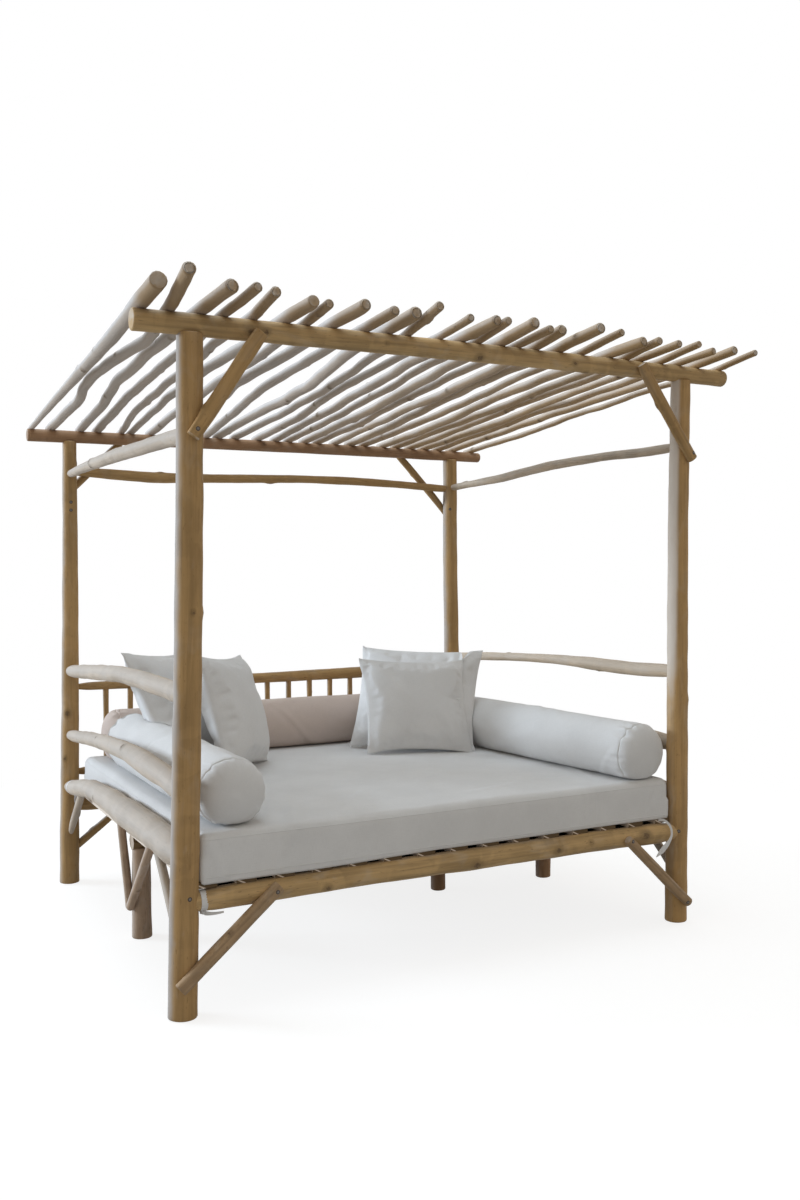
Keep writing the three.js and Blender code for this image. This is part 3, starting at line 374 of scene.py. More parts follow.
def fabric_material(name, colour, shadow):
    """Matt woven cotton: two crossing rows of threads on the piece's own UV map, in metres,
    with slubs, a little pilling and faint changes of tone."""
    material, g = new_material(name)
    uv = g.place("UV")
    place = g.place()
    parts = g.node("ShaderNodeSeparateXYZ", {}, uv)
    along = Value(g, parts.socket.node.outputs[0])
    over = Value(g, parts.socket.node.outputs[1])
    slub = g.noise(g.scaled(uv, (40, 900, 1)), 1.0, 2.0)
    slub_over = g.noise(g.scaled(uv, (900, 40, 1)), 1.0, 2.0)
    warp = (along * 2600.0 + slub * 2.0).sine()
    weft = (over * 2600.0 + slub_over * 2.0).sine()
    weave = warp * weft
    tone = g.noise(place, 5.5, 3.0, 0.55)
    dust = g.noise(place, 260.0, 2.0)
    threads = (slub + slub_over) * 0.5
    base = g.mixed(tone.between(0.3, 0.72), shade(colour, 0.955), shade(colour, 1.02))
    base = g.mixed(threads.between(0.42, 0.7) * 0.22, base, shadow)
    base = g.mixed(dust.between(0.56, 0.8) * 0.1, base, shade(colour, 1.1))
    g.surface(
        Base_Color=base, Roughness=threads.between(0.3, 0.7, 0.84, 0.95),
        Normal=g.bump(weave * 0.35 + threads, 0.0007, 0.5), Specular_IOR_Level=0.2,
        Sheen_Weight=0.05, Sheen_Roughness=0.5,
    )
    return material


MATERIALS = {}


def make_materials():
    wood = bpy.context.scene.daybed_wood
    cushions = bpy.context.scene.daybed_cushions
    # For each wood: its colour, silvering, depth of the streaks, roughness, the colour and share of the
    # painted light on the side that faces the window, and for the branches the colour of the painted shade on
    # their noses.
    MATERIALS["tan"] = wood_material("tan_peeled_wood", tuple(wood.tan), 0.12, 0.8, 0.62,
                                     (0.42, 0.405, 0.40), 0.85)
    MATERIALS["pale"] = wood_material("pale_peeled_wood", tuple(wood.pale), 0.4, 0.5, 0.62,
                                      (0.455, 0.415, 0.38), 0.6)
    MATERIALS["warm"] = wood_material("warm_peeled_wood", (0.465, 0.37, 0.27), 0.3, 0.6, 0.62,
                                      (0.47, 0.42, 0.37), 0.4)
    MATERIALS["rosy"] = wood_material("rosy_strut_wood", (0.41, 0.29, 0.20), 0.25, 0.7, 0.62,
                                      (0.52, 0.455, 0.405), 0.8)
    MATERIALS["brace"] = wood_material("brown_brace_wood", (0.345, 0.232, 0.132), 0.2, 0.8, 0.62,
                                       (0.42, 0.38, 0.34), 0.6)
    MATERIALS["grey"] = wood_material("grey_branch_wood", tuple(wood.grey), 0.25, 0.7, 0.66,
                                      (0.585, 0.56, 0.545), 0.9, shade(wood.tan, 0.84))
    MATERIALS["golden"] = wood_material("golden_peeled_wood", (0.46, 0.305, 0.142), 0.16, 0.8,
                                        0.62, (0.46, 0.43, 0.40), 0.85)
    # A lighter copy of the tan with a stronger, paler painted light, for the window side of the front right
    # post.
    MATERIALS["lit"] = wood_material("sunlit_post_wood", shade(wood.tan, 1.08), 0.12, 0.8, 0.62,
                                     (0.64, 0.57, 0.50), 0.92)
    # A darker brown copy of the tan for the legs, also used as painted shade on the back beam.
    MATERIALS["leg"] = wood_material("brown_leg_wood", (0.30, 0.175, 0.095), 0.2, 0.8, 0.62,
                                     (0.33, 0.27, 0.245), 0.8)
    MATERIALS["white"] = fabric_material("white_cotton", tuple(cushions.white), (0.5, 0.49, 0.48))
    MATERIALS["taupe"] = fabric_material("taupe_cotton", tuple(cushions.taupe), (0.36, 0.3, 0.27))


# Meshes


def finished(name, points, faces, material, uv=None, facts=None):
    """Puts points and faces into a smooth mesh object that rides on the body. uv holds one pair
    for each corner of each face, in order, and facts the attributes of the points."""
    mesh = bpy.data.meshes.new(name)
    mesh.from_pydata(points.tolist(), [], [f for part in faces for f in part.tolist()])
    mesh.polygons.foreach_set("use_smooth", np.ones(len(mesh.polygons), bool))
    if uv is not None:
        layer = mesh.uv_layers.new(name="UVMap")
        layer.data.foreach_set("uv", np.asarray(uv, np.float32).ravel())
    for key, values in (facts or {}).items():
        values = np.asarray(values, np.float32)
        kind = "FLOAT_VECTOR" if values.ndim == 2 else "FLOAT"
        layer = mesh.attributes.new(key, kind, "POINT")
        layer.data.foreach_set("vector" if values.ndim == 2 else "value", values.ravel())
    mesh.materials.append(MATERIALS[material])
    mesh.validate()
    mesh.update()
    piece = bpy.data.objects.new(name, mesh)
    bpy.context.scene.collection.objects.link(piece)
    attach(piece, BODY)
    return piece


def tube_faces(rows, sides):
    """Quads between each ring and the next, closed round the rings."""
    ring = np.arange(rows - 1)[:, None] * sides
    side = np.arange(sides)[None, :]
    after = (side + 1) % sides
    quads = [ring + side, ring + after, ring + after + sides, ring + side + sides]
    return np.stack(quads, -1).reshape(-1, 4)


def fans(rows, sides):
    """Triangles that close the first and the last ring on one point each, at the end of the list."""
    side = np.arange(sides)
    after = (side + 1) % sides
    last = (rows - 1) * sides
    first_point = np.full(sides, rows * sides)
    low = np.stack([first_point, after, side], -1)
    high = np.stack([first_point + 1, last + side, last + after], -1)
    return np.concatenate([low, high])


def unit(vectors):
    return vectors / np.linalg.norm(vectors, axis=-1, keepdims=True)


# Reading the round wood of the part


def node_arrays(name):
    """Points and triangles of a CAD node, with corners that share a place made one."""
    mesh = NODES[name].data
    mesh.calc_loop_triangles()
    places = np.empty(len(mesh.vertices) * 3, np.float32)
    mesh.vertices.foreach_get("co", places)
    corners = np.empty(len(mesh.loop_triangles) * 3, np.int32)
    mesh.loop_triangles.foreach_get("vertices", corners)
    places = places.reshape(-1, 3).astype(float)
    _, first, same = np.unique(
        np.round(places * 2e4).astype(np.int64), axis=0, return_index=True, return_inverse=True,
    )
    return places[first], same.ravel()[corners].reshape(-1, 3)


def outlines(points, triangles, height, level):
    """Centre and radius of each closed outline where the plane at that height cuts the
    triangles. The radius is that of a circle with the outline's area."""
    above = height > level
    sides = above[triangles]
    cut = triangles[sides.any(1) & ~sides.all(1)]
    if not len(cut):
        return []
    edges = np.stack([cut[:, [0, 1]], cut[:, [1, 2]], cut[:, [2, 0]]], 1)
    crossing = above[edges[..., 0]] != above[edges[..., 1]]
    pairs = np.sort(edges[crossing].reshape(-1, 2, 2), axis=2)
    low, high = pairs[..., 0], pairs[..., 1]
    share = (level - height[low]) / (height[high] - height[low])
    places = points[low] + (points[high] - points[low]) * share[..., None]
    _, ids = np.unique(low * len(points) + high, return_inverse=True)
    ids = ids.reshape(-1, 2)
    label = np.arange(ids.max() + 1)
    while True:
        least = label[ids].min(1)
        spread = label.copy()
        np.minimum.at(spread, ids[:, 0], least)
        np.minimum.at(spread, ids[:, 1], least)
        spread = spread[spread]
        if (spread == label).all():
            break
        label = spread
    found = []
    for which in np.unique(label):
        part = places[label[ids[:, 0]] == which]
        middle = part.reshape(-1, 3).mean(0)
        areas = np.linalg.norm(np.cross(part[:, 0] - middle, part[:, 1] - middle), axis=1) / 2
        if areas.sum() < 1e-5:
            continue
        centre = ((part.sum(1) + middle) / 3 * areas[:, None]).sum(0) / areas.sum()
        found.append((centre, math.sqrt(areas.sum() / math.pi)))
    return found


def trace(name, line=None, taper=0.0, spacing=0.02, seed_share=0.5):
    """Centre line and radius of a limb in a CAD node. Planes square to the line from its start
    to its end cut the solid. From the middle outwards, of each plane's outlines the one nearest
    to where the limb was heading counts. Where another limb joins it or a beam is let into it,
    its radius leaves the run of its neighbours, and that place is bridged, but not within taper
    of an end, where a rail narrows."""
    points, triangles = node_arrays(name)
    if line is None:
        centre = points.mean(0)
        axis = np.linalg.svd(points - centre, full_matrices=False)[2][0]
        axis *= np.sign(axis[np.argmax(abs(axis))])
        reach = (points - centre) @ axis
        start, end = centre + axis * reach.min(), centre + axis * reach.max()
    else:
        start, end = (np.array(point) for point in line)
        axis = unit(end - start)
    length = np.linalg.norm(end - start)
    height = (points - start) @ axis
    count = max(8, int(length / spacing))
    levels = np.linspace(0.003, length - 0.003, count)
    found = [outlines(points, triangles, height, level) for level in levels]
    centres = np.full((count, 3), np.nan)
    radii = np.full(count, np.nan)
    middle = int((count - 1) * seed_share)
    for walk in (range(middle, count), range(middle - 1, -1, -1)):
        for i in walk:
            known = [k for k in range(count) if not np.isnan(radii[k])]
            if not known:
                guess, size = start + axis * levels[i], None
            else:
                known.sort(key=lambda k: abs(k - i))
                near, far = known[0], known[min(5, len(known) - 1)]
                size = radii[near]
                slope = axis if near == far else (centres[near] - centres[far]) / (
                    levels[near] - levels[far])
                guess = centres[near] + slope * (levels[i] - levels[near])
            if not found[i]:
                continue
            centre, radius = min(found[i], key=lambda c: np.linalg.norm(c[0] - guess))
            at_end = min(levels[i], length - levels[i]) < taper
            if size is not None:
                wide = 1.12 if not at_end else 1.4
                slim = 0.86 if not at_end else 0.45
                if not slim < radius / size < wide:
                    continue
                if np.linalg.norm(centre - guess) > 0.5 * size:
                    continue
            centres[i], radii[i] = centre, radius
    good = ~np.isnan(radii)
    for _ in range(2):
        order = np.flatnonzero(good)
        padded = np.pad(radii[order], 5, mode="edge")
        usual = np.median(np.stack([padded[k:k + len(order)] for k in range(11)]), axis=0)
        inner = np.minimum(levels[order], length - levels[order]) > taper
        odd = inner & (abs(radii[order] / usual - 1) > 0.045)
        good[order[odd]] = False
    s = levels[good]
    line_points = [np.interp(levels, s, centres[good][:, k]) for k in range(3)]
    centres = np.stack(line_points, -1)
    radii = np.interp(levels, s, radii[good])
    inside = np.flatnonzero(good)
    first, last = inside[0], inside[-1]
    slope_first = (centres[first + 3] - centres[first]) / (levels[first + 3] - levels[first])
    slope_last = (centres[last] - centres[last - 3]) / (levels[last] - levels[last - 3])
    levels_full = np.concatenate([[0.0], levels, [length]])
    centres = np.concatenate([centres[:1], centres, centres[-1:]])
    radii = np.concatenate([radii[:1], radii, radii[-1:]])
    before, after = levels_full < levels[first], levels_full > levels[last]
    centres[before] = centres[first + 1] + (levels_full[before] - levels[first])[:, None] * slope_first
    centres[after] = centres[last + 1] + (levels_full[after] - levels[last])[:, None] * slope_last
    return centres, radii


def smoothed(values, sigma):
    """A running mean with bell weights, which keeps both ends where they are."""
    reach = int(3 * sigma) + 1
    head = 2 * values[0] - values[1:reach + 1][::-1]
    tail = 2 * values[-1] - values[-reach - 1:-1][::-1]
    padded = np.concatenate([head, values, tail])
    weights = np.exp(-0.5 * (np.arange(-reach, reach + 1) / sigma) ** 2)
    weights /= weights.sum()
    columns = [np.convolve(padded[:, k], weights, mode="valid") for k in range(values.shape[1])]
    return np.stack(columns, -1)


def log_surface(centres, radii, seed, unevenness, knots=(), square=0.0, step=0.012, ease=2.2,
                crook=0.0, nose=0.0045, wide=1.0, sunlit=1.0, dim_below=0.0):
    """An uneven round log. Each ring lies square to the centre line, with radius
    R(s) * (1 + sum of four slow waves in angle and length) + the bell of each knot. A share of
    squareness blends the circle with a rounded square. The sawn ends have a worn edge and are
    closed by smaller and smaller rings down to one point. A knot is (distance, angle, size).
    Crook adds slow sideways waves to the centre line and wide stretches the rings one way. The
    side that faces the window gets painted light, more or less of it for each log, and below the
    height dim_below less of it is left, as painted shade."""
    random = np.random.default_rng(seed)
    run = np.concatenate([[0.0], np.cumsum(np.linalg.norm(np.diff(centres, axis=0), axis=1))])
    length = run[-1]
    count = max(6, int(length / step))
    s = np.linspace(0, length, count)
    data = np.stack([np.interp(s, run, v) for v in (*centres.T, radii)], -1)
    data = smoothed(data, ease)
    held = np.sin(math.pi * np.clip(s / length, 0, 1)) ** 0.7
    for column, share in ((0, 1.0), (2, 0.45)):
        for wave in (0.62, 0.34, 0.19):
            bend = np.sin(2 * math.pi * s / (wave * random.uniform(0.75, 1.3))
                          + random.uniform(0, 2 * math.pi))
            data[:, column] += crook * share * held * wave / 0.5 * bend
    edge = min(nose, 0.3 * radii.min())
    worn = [(0.0, 0.14), (0.0, 0.45), (0.0, 0.75), (0.0, 1 - edge / radii.mean()),
            (edge * 0.3, 1 - 0.35 * edge / radii.mean()), (edge, 1.0)]
    places = np.concatenate([[w[0] for w in worn], s[1:-1], [length - w[0] for w in worn[::-1]]])
    scale = np.concatenate([[w[1] for w in worn], np.ones(count - 2), [w[1] for w in worn[::-1]]])
    sawn = np.concatenate([[1, 1, 1, 1, 0, 0], np.zeros(count - 2), [0, 0, 1, 1, 1, 1]])
    order = np.argsort(places, kind="stable")
    places, scale, sawn = places[order], scale[order], sawn[order]
    middle = np.stack([np.interp(places, s, data[:, k]) for k in range(3)], -1)
    radius = np.interp(places, s, data[:, 3])
    slope = np.gradient(data[:, :3], s, axis=0)
    tangent = unit(np.stack([np.interp(places, s, slope[:, k]) for k in range(3)], -1))
    reference = ACROSS if abs(tangent[:, 2].mean()) > 0.7 else UP
    side = unit(np.cross(tangent, reference))
    rise = np.cross(tangent, side)

    sides = int(np.clip(2 * math.pi * radii.mean() / 0.0088, 12, 32))
    angle = np.linspace(0, 2 * math.pi, sides, endpoint=False)[None, :]
    along = places[:, None]
    waves = np.zeros((len(places), sides))
    for lobes, wave in ((1, 0.31), (2, 0.46), (2, 0.17), (3, 0.24), (4, 0.1)):
        phase, drift = random.uniform(0, 2 * math.pi, 2)
        size = random.uniform(0.35, 0.8) * unevenness / (1 + 0.25 * lobes)
        pace = 2 * math.pi / (wave * random.uniform(0.8, 1.3))
        waves += size * np.sin(lobes * angle + phase) * np.sin(pace * along + drift)
    girth = random.uniform(0, 2 * math.pi)
    waves += 0.35 * unevenness * np.sin(2 * math.pi / 0.27 * along + girth)
    corner = (abs(np.cos(angle)) ** 6 + abs(np.sin(angle)) ** 6) ** (-1 / 6) * 0.93
    form = (1 - square) + square * corner
    out = radius[:, None] * (form + waves)
    knot = np.full(out.shape, 4.0)
    for distance, turn, size in knots:
        round_it = (angle - turn + math.pi) % (2 * math.pi) - math.pi
        away = np.sqrt(((along - distance) / 1.25) ** 2 + (radius[:, None] * round_it) ** 2) / size
        out += 0.34 * size * np.exp(-0.8 * away ** 2)
        knot = np.minimum(knot, away)
    out = out * scale[:, None]
    ring = np.cos(angle)[..., None] * side[:, None] + wide * np.sin(angle)[..., None] * rise[:, None]
    points = middle[:, None] + out[..., None] * ring
    shift = random.uniform(-9, 9, 3)
    shift[:2] = 0
    grain = np.stack([out * np.cos(angle), out * np.sin(angle), along + 0 * angle], -1) + shift
    # Painted light: the share of the window's light painted on each point, from how its ring faces the window,
    # less of it low down where painted shade falls.
    lit_side_share = np.clip(sunlit * (ring @ PAINTED_LIGHT_SIDE), 0, 1) ** 1.4
    lit_side_share *= np.clip(1 - (dim_below - middle[:, 2:]) / 0.5, 0.35, 1)
    rows = len(places)
    ends = np.stack([middle[0], middle[-1]])
    grain_ends = np.stack([[0, 0, 0], [0, 0, length]]) + shift
    points = np.concatenate([points.reshape(-1, 3), ends])
    facts = {
        "grain": np.concatenate([grain.reshape(-1, 3), grain_ends]),
        "knot": np.concatenate([knot.ravel(), [4.0, 4.0]]),
        "sawn": np.concatenate([np.repeat(sawn, sides), [1.0, 1.0]]),
        "tint": np.full(len(points), random.uniform(-1, 1)),
        "sun": np.concatenate([lit_side_share.ravel(), [0.0, 0.0]]),
    }
    return points, tube_faces(rows, sides), fans(rows, sides), facts


def joined(parts):
    """Several surfaces as one."""
    points, quads, triangles, facts, offset = [], [], [], {}, 0
    for some, four, three, more in parts:
        points.append(some)
        quads.append(four + offset)
        triangles.append(three + offset)
        for key, values in more.items():
            facts.setdefault(key, []).append(values)
        offset += len(some)
    facts = {key: np.concatenate(values) for key, values in facts.items()}
    return np.concatenate(points), np.concatenate(quads), np.concatenate(triangles), facts


def random_knots(seed, length, many, size):
    random = np.random.default_rng(seed + 7000)
    return [
        (random.uniform(0.06, length - 0.06), random.uniform(0, 2 * math.pi),
         size * random.uniform(0.6, 1.3))
        for _ in range(max(0, int(many * length + random.uniform(0, 1))))
    ]


def full_ended(centres, radii, taper, share=0.84, most=0.036, into=0.008):
    """A rail that keeps its girth up to the post: within taper of an end its radius stays above a
    share of the radius there, and the ends reach a little farther into the posts."""
    run = np.concatenate([[0.0], np.cumsum(np.linalg.norm(np.diff(centres, axis=0), axis=1))])
    from_end = np.minimum(run, run[-1] - run)
    girth = np.interp([taper, run[-1] - taper], run, radii)
    own = np.where(run < run[-1] / 2, *girth)
    radii = np.where(from_end < taper, np.maximum(radii, np.minimum(share * own, most)), radii)
    centres = centres.copy()
    centres[0] += into * unit(centres[0] - centres[3])
    centres[-1] += into * unit(centres[-1] - centres[-4])
    return centres, radii


def log_piece(node, seed, material, slot, lines=(None,), taper=0.0, knots=(), knots_per_metre=1.6,
              knot_size=0.014, level_foot=False, uneven=1.0, seed_share=0.5, nose_place=None,
              **shape):
    """Makes the logs of one CAD node as one piece that stands for it. Where a nose place is
    given, the last limb runs straight to it from over the front beam."""
    wood = bpy.context.scene.daybed_wood
    parts = []
    for index, line in enumerate(lines):
        centres, radii = trace(node, line, taper, seed_share=seed_share)
        if taper and index == 0:
            centres, radii = full_ended(centres, radii, taper)
        if nose_place is not None and index == len(lines) - 1:
            behind = centres[:, 1] > FRONT_SEAT
            over = centres[behind][0] + np.linspace(1, 0, 14, endpoint=False)[:, None] * (
                np.array(nose_place) - centres[behind][0])
            radii = np.concatenate([np.full(14, radii[behind][0]), radii[behind]])
            centres = np.concatenate([over, centres[behind]])
        length = np.linalg.norm(centres[-1] - centres[0])
        own = seed * 31 + index
        some = [*knots, *random_knots(own, length, knots_per_metre, knot_size)] if index == 0 \
            else random_knots(own, length, knots_per_metre, knot_size)
        parts.append(log_surface(
            centres, radii, own, wood.unevenness * uneven, some, step=wood.ring_step, **shape,
        ))
    points, quads, triangles, facts = joined(parts)
    if level_foot:
        points[:, 2] = np.maximum(points[:, 2], 0.0)
    piece = finished(f"{node}_log", points, [quads, triangles], material, facts=facts)
    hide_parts(node)
    return piece


# Where the limbs of the nodes with several limbs start and end

SIDE_RAILS = {
    "left_bed_rail": [
        ((-1.025, -0.688, 0.50), (-1.031, 0.969, 0.43)),
        ((-1.034, -0.70, 0.205), (-1.026, -0.40, 0.475)),
        ((-1.035, 0.965, 0.232), (-1.030, 0.74, 0.44)),
    ],
    "right_bed_rail": [
        ((0.962, -0.699, 0.50), (0.953, 0.959, 0.437)),
        ((0.961, -0.70, 0.208), (0.961, -0.40, 0.473)),
        ((0.957, 0.96, 0.23), (0.954, 0.735, 0.436)),
    ],
}
OUTER_LEGS = {
    "left_middle_leg": [
        ((-0.949, 0.092, 0.0), (-0.949, 0.092, 0.344)),
        ((-0.994, 0.092, 0.118), (-1.005, -0.308, 0.481)),
        ((-0.994, 0.092, 0.118), (-1.010, 0.167, 0.484)),
    ],
    "right_middle_leg": [
        ((0.865, 0.042, 0.0), (0.865, 0.042, 0.344)),
        ((0.906, 0.042, 0.118), (0.939, -0.358, 0.478)),
        ((0.906, 0.042, 0.118), (0.940, 0.117, 0.477)),
    ],
}
BRANCH_PAIRS = {
    "roof_branch_pair_10": [
        ((-0.293, -0.902, 2.220), (-0.320, 1.048, 2.019)),
        ((-0.283, -1.005, 2.224), (-0.239, 1.047, 2.016)),
    ],
    "roof_branch_pair_13": [
        ((0.002, -0.925, 2.219), (-0.034, 1.045, 2.016)),
        ((0.027, -0.953, 2.216), (0.036, 1.045, 2.015)),
    ],
    "roof_branch_pair_17": [
        ((0.274, -0.916, 2.216), (0.280, 1.042, 2.014)),
        ((0.274, -0.983, 2.222), (0.368, 1.042, 2.016)),
    ],
    "roof_branch_pair_20": [
        ((0.647, -0.903, 2.212), (0.548, 1.041, 2.013)),
        ((0.666, -0.944, 2.211), (0.629, 1.041, 2.014)),
    ],
}


# Where the right branch of a pair ends in front, and how far forward it is traced
PAIR_NOSES = {
    "roof_branch_pair_10": (-0.264, -1.003, 2.224),
    "roof_branch_pair_17": (0.391, -0.981, 2.222),
    "roof_branch_pair_20": (0.685, -0.942, 2.211),
}
FRONT_SEAT = -0.70


class DAYBED_OT_posts(bpy.types.Operator):
    """Make the four posts and the two beams"""
    bl_idname = "daybed.posts"
    bl_label = "Posts and Beams"

    def execute(self, context):
        log_piece("front_left_post", 1, "tan", "wood", level_foot=True, uneven=0.7, wide=1.06)
        # The front right post: stronger painted light on its window side, and painted shade below 1.15 m,
        # where the bolster shades it.
        log_piece("front_right_post", 2, "lit", "wood", level_foot=True, uneven=0.7, wide=1.03,
                  sunlit=1.7, dim_below=1.15)
        log_piece("back_left_post", 3, "tan", "wood", level_foot=True, uneven=0.7,
                  knots=((0.76, math.radians(152), 0.018),))
        log_piece("back_right_post", 4, "tan", "wood", level_foot=True, uneven=0.7)
        log_piece("front_beam", 5, "golden", "wood", uneven=0.8, knots=tuple(
            (distance, math.radians(turn), size) for distance, turn, size in (
                (0.37, 18, 0.016), (0.42, 12, 0.014), (0.85, 8, 0.01), (1.62, 15, 0.012))))
        # The back beam takes the darker leg wood with little painted light: painted shade under the roof.
        log_piece("back_beam", 6, "leg", "wood", uneven=0.8, sunlit=0.4)
        return {"FINISHED"}


class DAYBED_OT_rails(bpy.types.Operator):
    """Make the bed rails, arm rails and tie rails between the posts"""
    bl_idname = "daybed.rails"
    bl_label = "Rails"

    def execute(self, context):
        log_piece("front_bed_rail", 11, "golden", "wood", taper=0.09, knots=tuple(
            (distance, math.radians(turn), size) for distance, turn, size in (
                (1.03, 20, 0.02), (1.38, 5, 0.017), (1.53, -15, 0.011), (1.79, -10, 0.022),
                (0.46, 25, 0.015))))
        log_piece("back_bed_rail", 12, "tan", "wood", taper=0.09)
        for number, (node, lines) in enumerate(SIDE_RAILS.items()):
            log_piece(node, 13 + number, "pale", "pale_wood", lines, taper=0.1, uneven=1.3)
        for number, side in enumerate(("left", "right")):
            wood = "pale" if side == "left" else "warm"
            log_piece(f"{side}_upper_arm", 15 + number, wood, "pale_wood", taper=0.09, uneven=1.2)
            log_piece(f"{side}_lower_arm", 17 + number, wood, "pale_wood", taper=0.09, uneven=1.2)
            log_piece(f"{side}_tie_rail", 19 + number, wood, "pale_wood", taper=0.07)
        log_piece("back_tie_rail", 21, "tan", "pale_wood", taper=0.07)
        return {"FINISHED"}


# Squareness of a front brace, and its width as a share of its thickness
BRACE_FORMS = {
    "front_top_left_brace": (0.85, 1.32),
    "front_low_left_brace": (0.85, 1.16),
    "front_top_right_brace": (0.3, 1.25),
    "front_low_right_brace": (0.0, 1.05),
}


class DAYBED_OT_braces(bpy.types.Operator):
    """Make the braces and the middle legs"""
    bl_idname = "daybed.braces"
    bl_label = "Braces and Legs"

    def execute(self, context):
        for number, node in enumerate((
            "front_top_left_brace", "front_top_right_brace",
            "front_low_left_brace", "front_low_right_brace",
            "back_top_left_brace", "back_top_right_brace",
            "back_low_left_brace", "back_low_right_brace",
        )):
            flat, wide = BRACE_FORMS.get(node, (0.0, 1.0))
            wood = "brace" if node.startswith("front_low") else "tan"
            # The front braces get a quarter of the painted light on their window side.
            log_piece(node, 31 + number, wood, "wood", square=flat, wide=wide, knot_size=0.01,
                      nose=0.002 if flat else 0.0045,
                      sunlit=0.25 if node.startswith("front") else 1.0)
        for number, (node, lines) in enumerate(OUTER_LEGS.items()):
            wood = "rosy" if node == "left_middle_leg" else "leg"
            log_piece(node, 41 + number, wood, "wood", lines, level_foot=True)
        log_piece("centre_middle_leg", 43, "leg", "wood", level_foot=True)
        return {"FINISHED"}


class DAYBED_OT_canopy(bpy.types.Operator):
    """Make the crooked branches of the roof"""
    bl_idname = "daybed.canopy"
    bl_label = "Roof Branches"

    def execute(self, context):
        names = sorted(name for name in NODES if name.startswith("roof_branch"))
        for number, node in enumerate(names):
            lines = BRANCH_PAIRS.get(node, (None,))
            log_piece(
                node, 51 + number, "grey", "branch_wood", lines, uneven=1.5,
                knots_per_metre=2.0, knot_size=0.011, ease=1.2, nose=0.006,
                crook=0.0026 if number else 0.0,
                seed_share=0.97 if node in BRANCH_PAIRS else 0.5,
                nose_place=PAIR_NOSES.get(node),
            )
        return {"FINISHED"}


class DAYBED_OT_backrest(bpy.types.Operator):
    """Make the backrest's two rails with their row of spindles, and finish the slats"""
    bl_idname = "daybed.backrest"
    bl_label = "Backrest and Slats"

    def execute(self, context):
        wood = context.scene.daybed_wood
        parts = []
        for index, level in enumerate((0.872, 0.492)):
            line = ((-1.015, 0.988, level), (0.935, 0.982, level))
            centres, radii = trace("backrest", line, 0.07, 0.014)
            parts.append(log_surface(centres, radii, 900 + index, wood.unevenness,
                                     random_knots(900 + index, 1.9, 1.5, 0.012)))
        points, triangles = node_arrays("backrest")
        low = sorted(outlines(points, triangles, points[:, 2], 0.60), key=lambda c: c[0][0])
        high = sorted(outlines(points, triangles, points[:, 2], 0.76), key=lambda c: c[0][0])
        for index, ((foot, radius), (head, _)) in enumerate(zip(low, high)):
            slope = (head - foot) / (head[2] - foot[2])
            ends = [foot + slope * (z - foot[2]) for z in (0.488, 0.60, 0.76, 0.874)]
            parts.append(log_surface(
                np.array(ends), np.full(4, radius), 920 + index, wood.unevenness * 1.8,
                random_knots(920 + index, 0.38, 1.2, 0.008),
            ))
        points, quads, fan, facts = joined(parts)
        piece = finished("backrest_logs", points, [quads, fan], "tan", facts=facts)
        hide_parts("backrest")
        deck = NODES["slat_deck"]
        for index in range(len(deck.material_slots)):
            deck.material_slots[index].material = slats_with_painted_light(tuple(wood.tan))
        return {"FINISHED"}


def slats_with_painted_light(colour):
    """Planed slats, painted as they look in the shade of the mattress: straight grain from front to
    back, with a change of tone from slat to slat, a darker copy of the tan as painted shade, front
    ends painted darker still, and a pale strip along the left edge of each, a painted highlight,
    which runs slanted over the end of the slat."""
    material, g = new_material("planed_slats_painted_light")
    low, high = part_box("slat_deck")
    pitch = (high.x - low.x - SLAT_WIDTH) / (SLAT_COUNT - 1)
    place = g.place()
    streaks = g.noise(g.scaled(place, (90, 3, 90)), 1.0, 4.0, 0.6, 0.3)
    fibres = g.noise(g.scaled(place, (420, 14, 420)), 1.0, 2.0)
    tone = g.noise(g.scaled(place, (6.5, 0.2, 0.2)), 1.0, 1.0)
    # The slats are painted in a darker copy of the tan: painted shade under the mattress.
    base = g.mixed(tone.between(0.35, 0.65), shade(colour, 0.48), shade(colour, 0.66))
    base = g.mixed(streaks.between(0.45, 0.75) * 0.5, base, shade(colour, 0.4))
    base = g.mixed(fibres.between(0.5, 0.8) * 0.25, base, shade(colour, 0.42))
    parts = g.node("ShaderNodeSeparateXYZ", {}, place)
    across, back, height = (Value(g, parts.socket.node.outputs[k]) for k in range(3))
    # The front ends are painted darker still: painted shade.
    front = back.between(-0.7316, -0.7324)
    base = g.mixed(front * 0.85, base, shade(colour, 0.22))
    # A pale strip along the left edge of each slat, slanted over its end: a painted highlight.
    slant = front * (SLAT_TOP - 0.006 - height) * 2.0
    within = across.maths("FRACT", (across - slant - low.x + 0.0004) / pitch) * pitch
    base = g.mixed(within.between(0.0095, 0.0075), base, (0.74, 0.63, 0.53))
    g.surface(
        Base_Color=base, Roughness=fibres.between(0.2, 0.8, 0.6, 0.75),
        Normal=g.bump(streaks + fibres * 0.5, 0.001, 0.4), Specular_IOR_Level=0.3,
    )
    return material


# Cushions


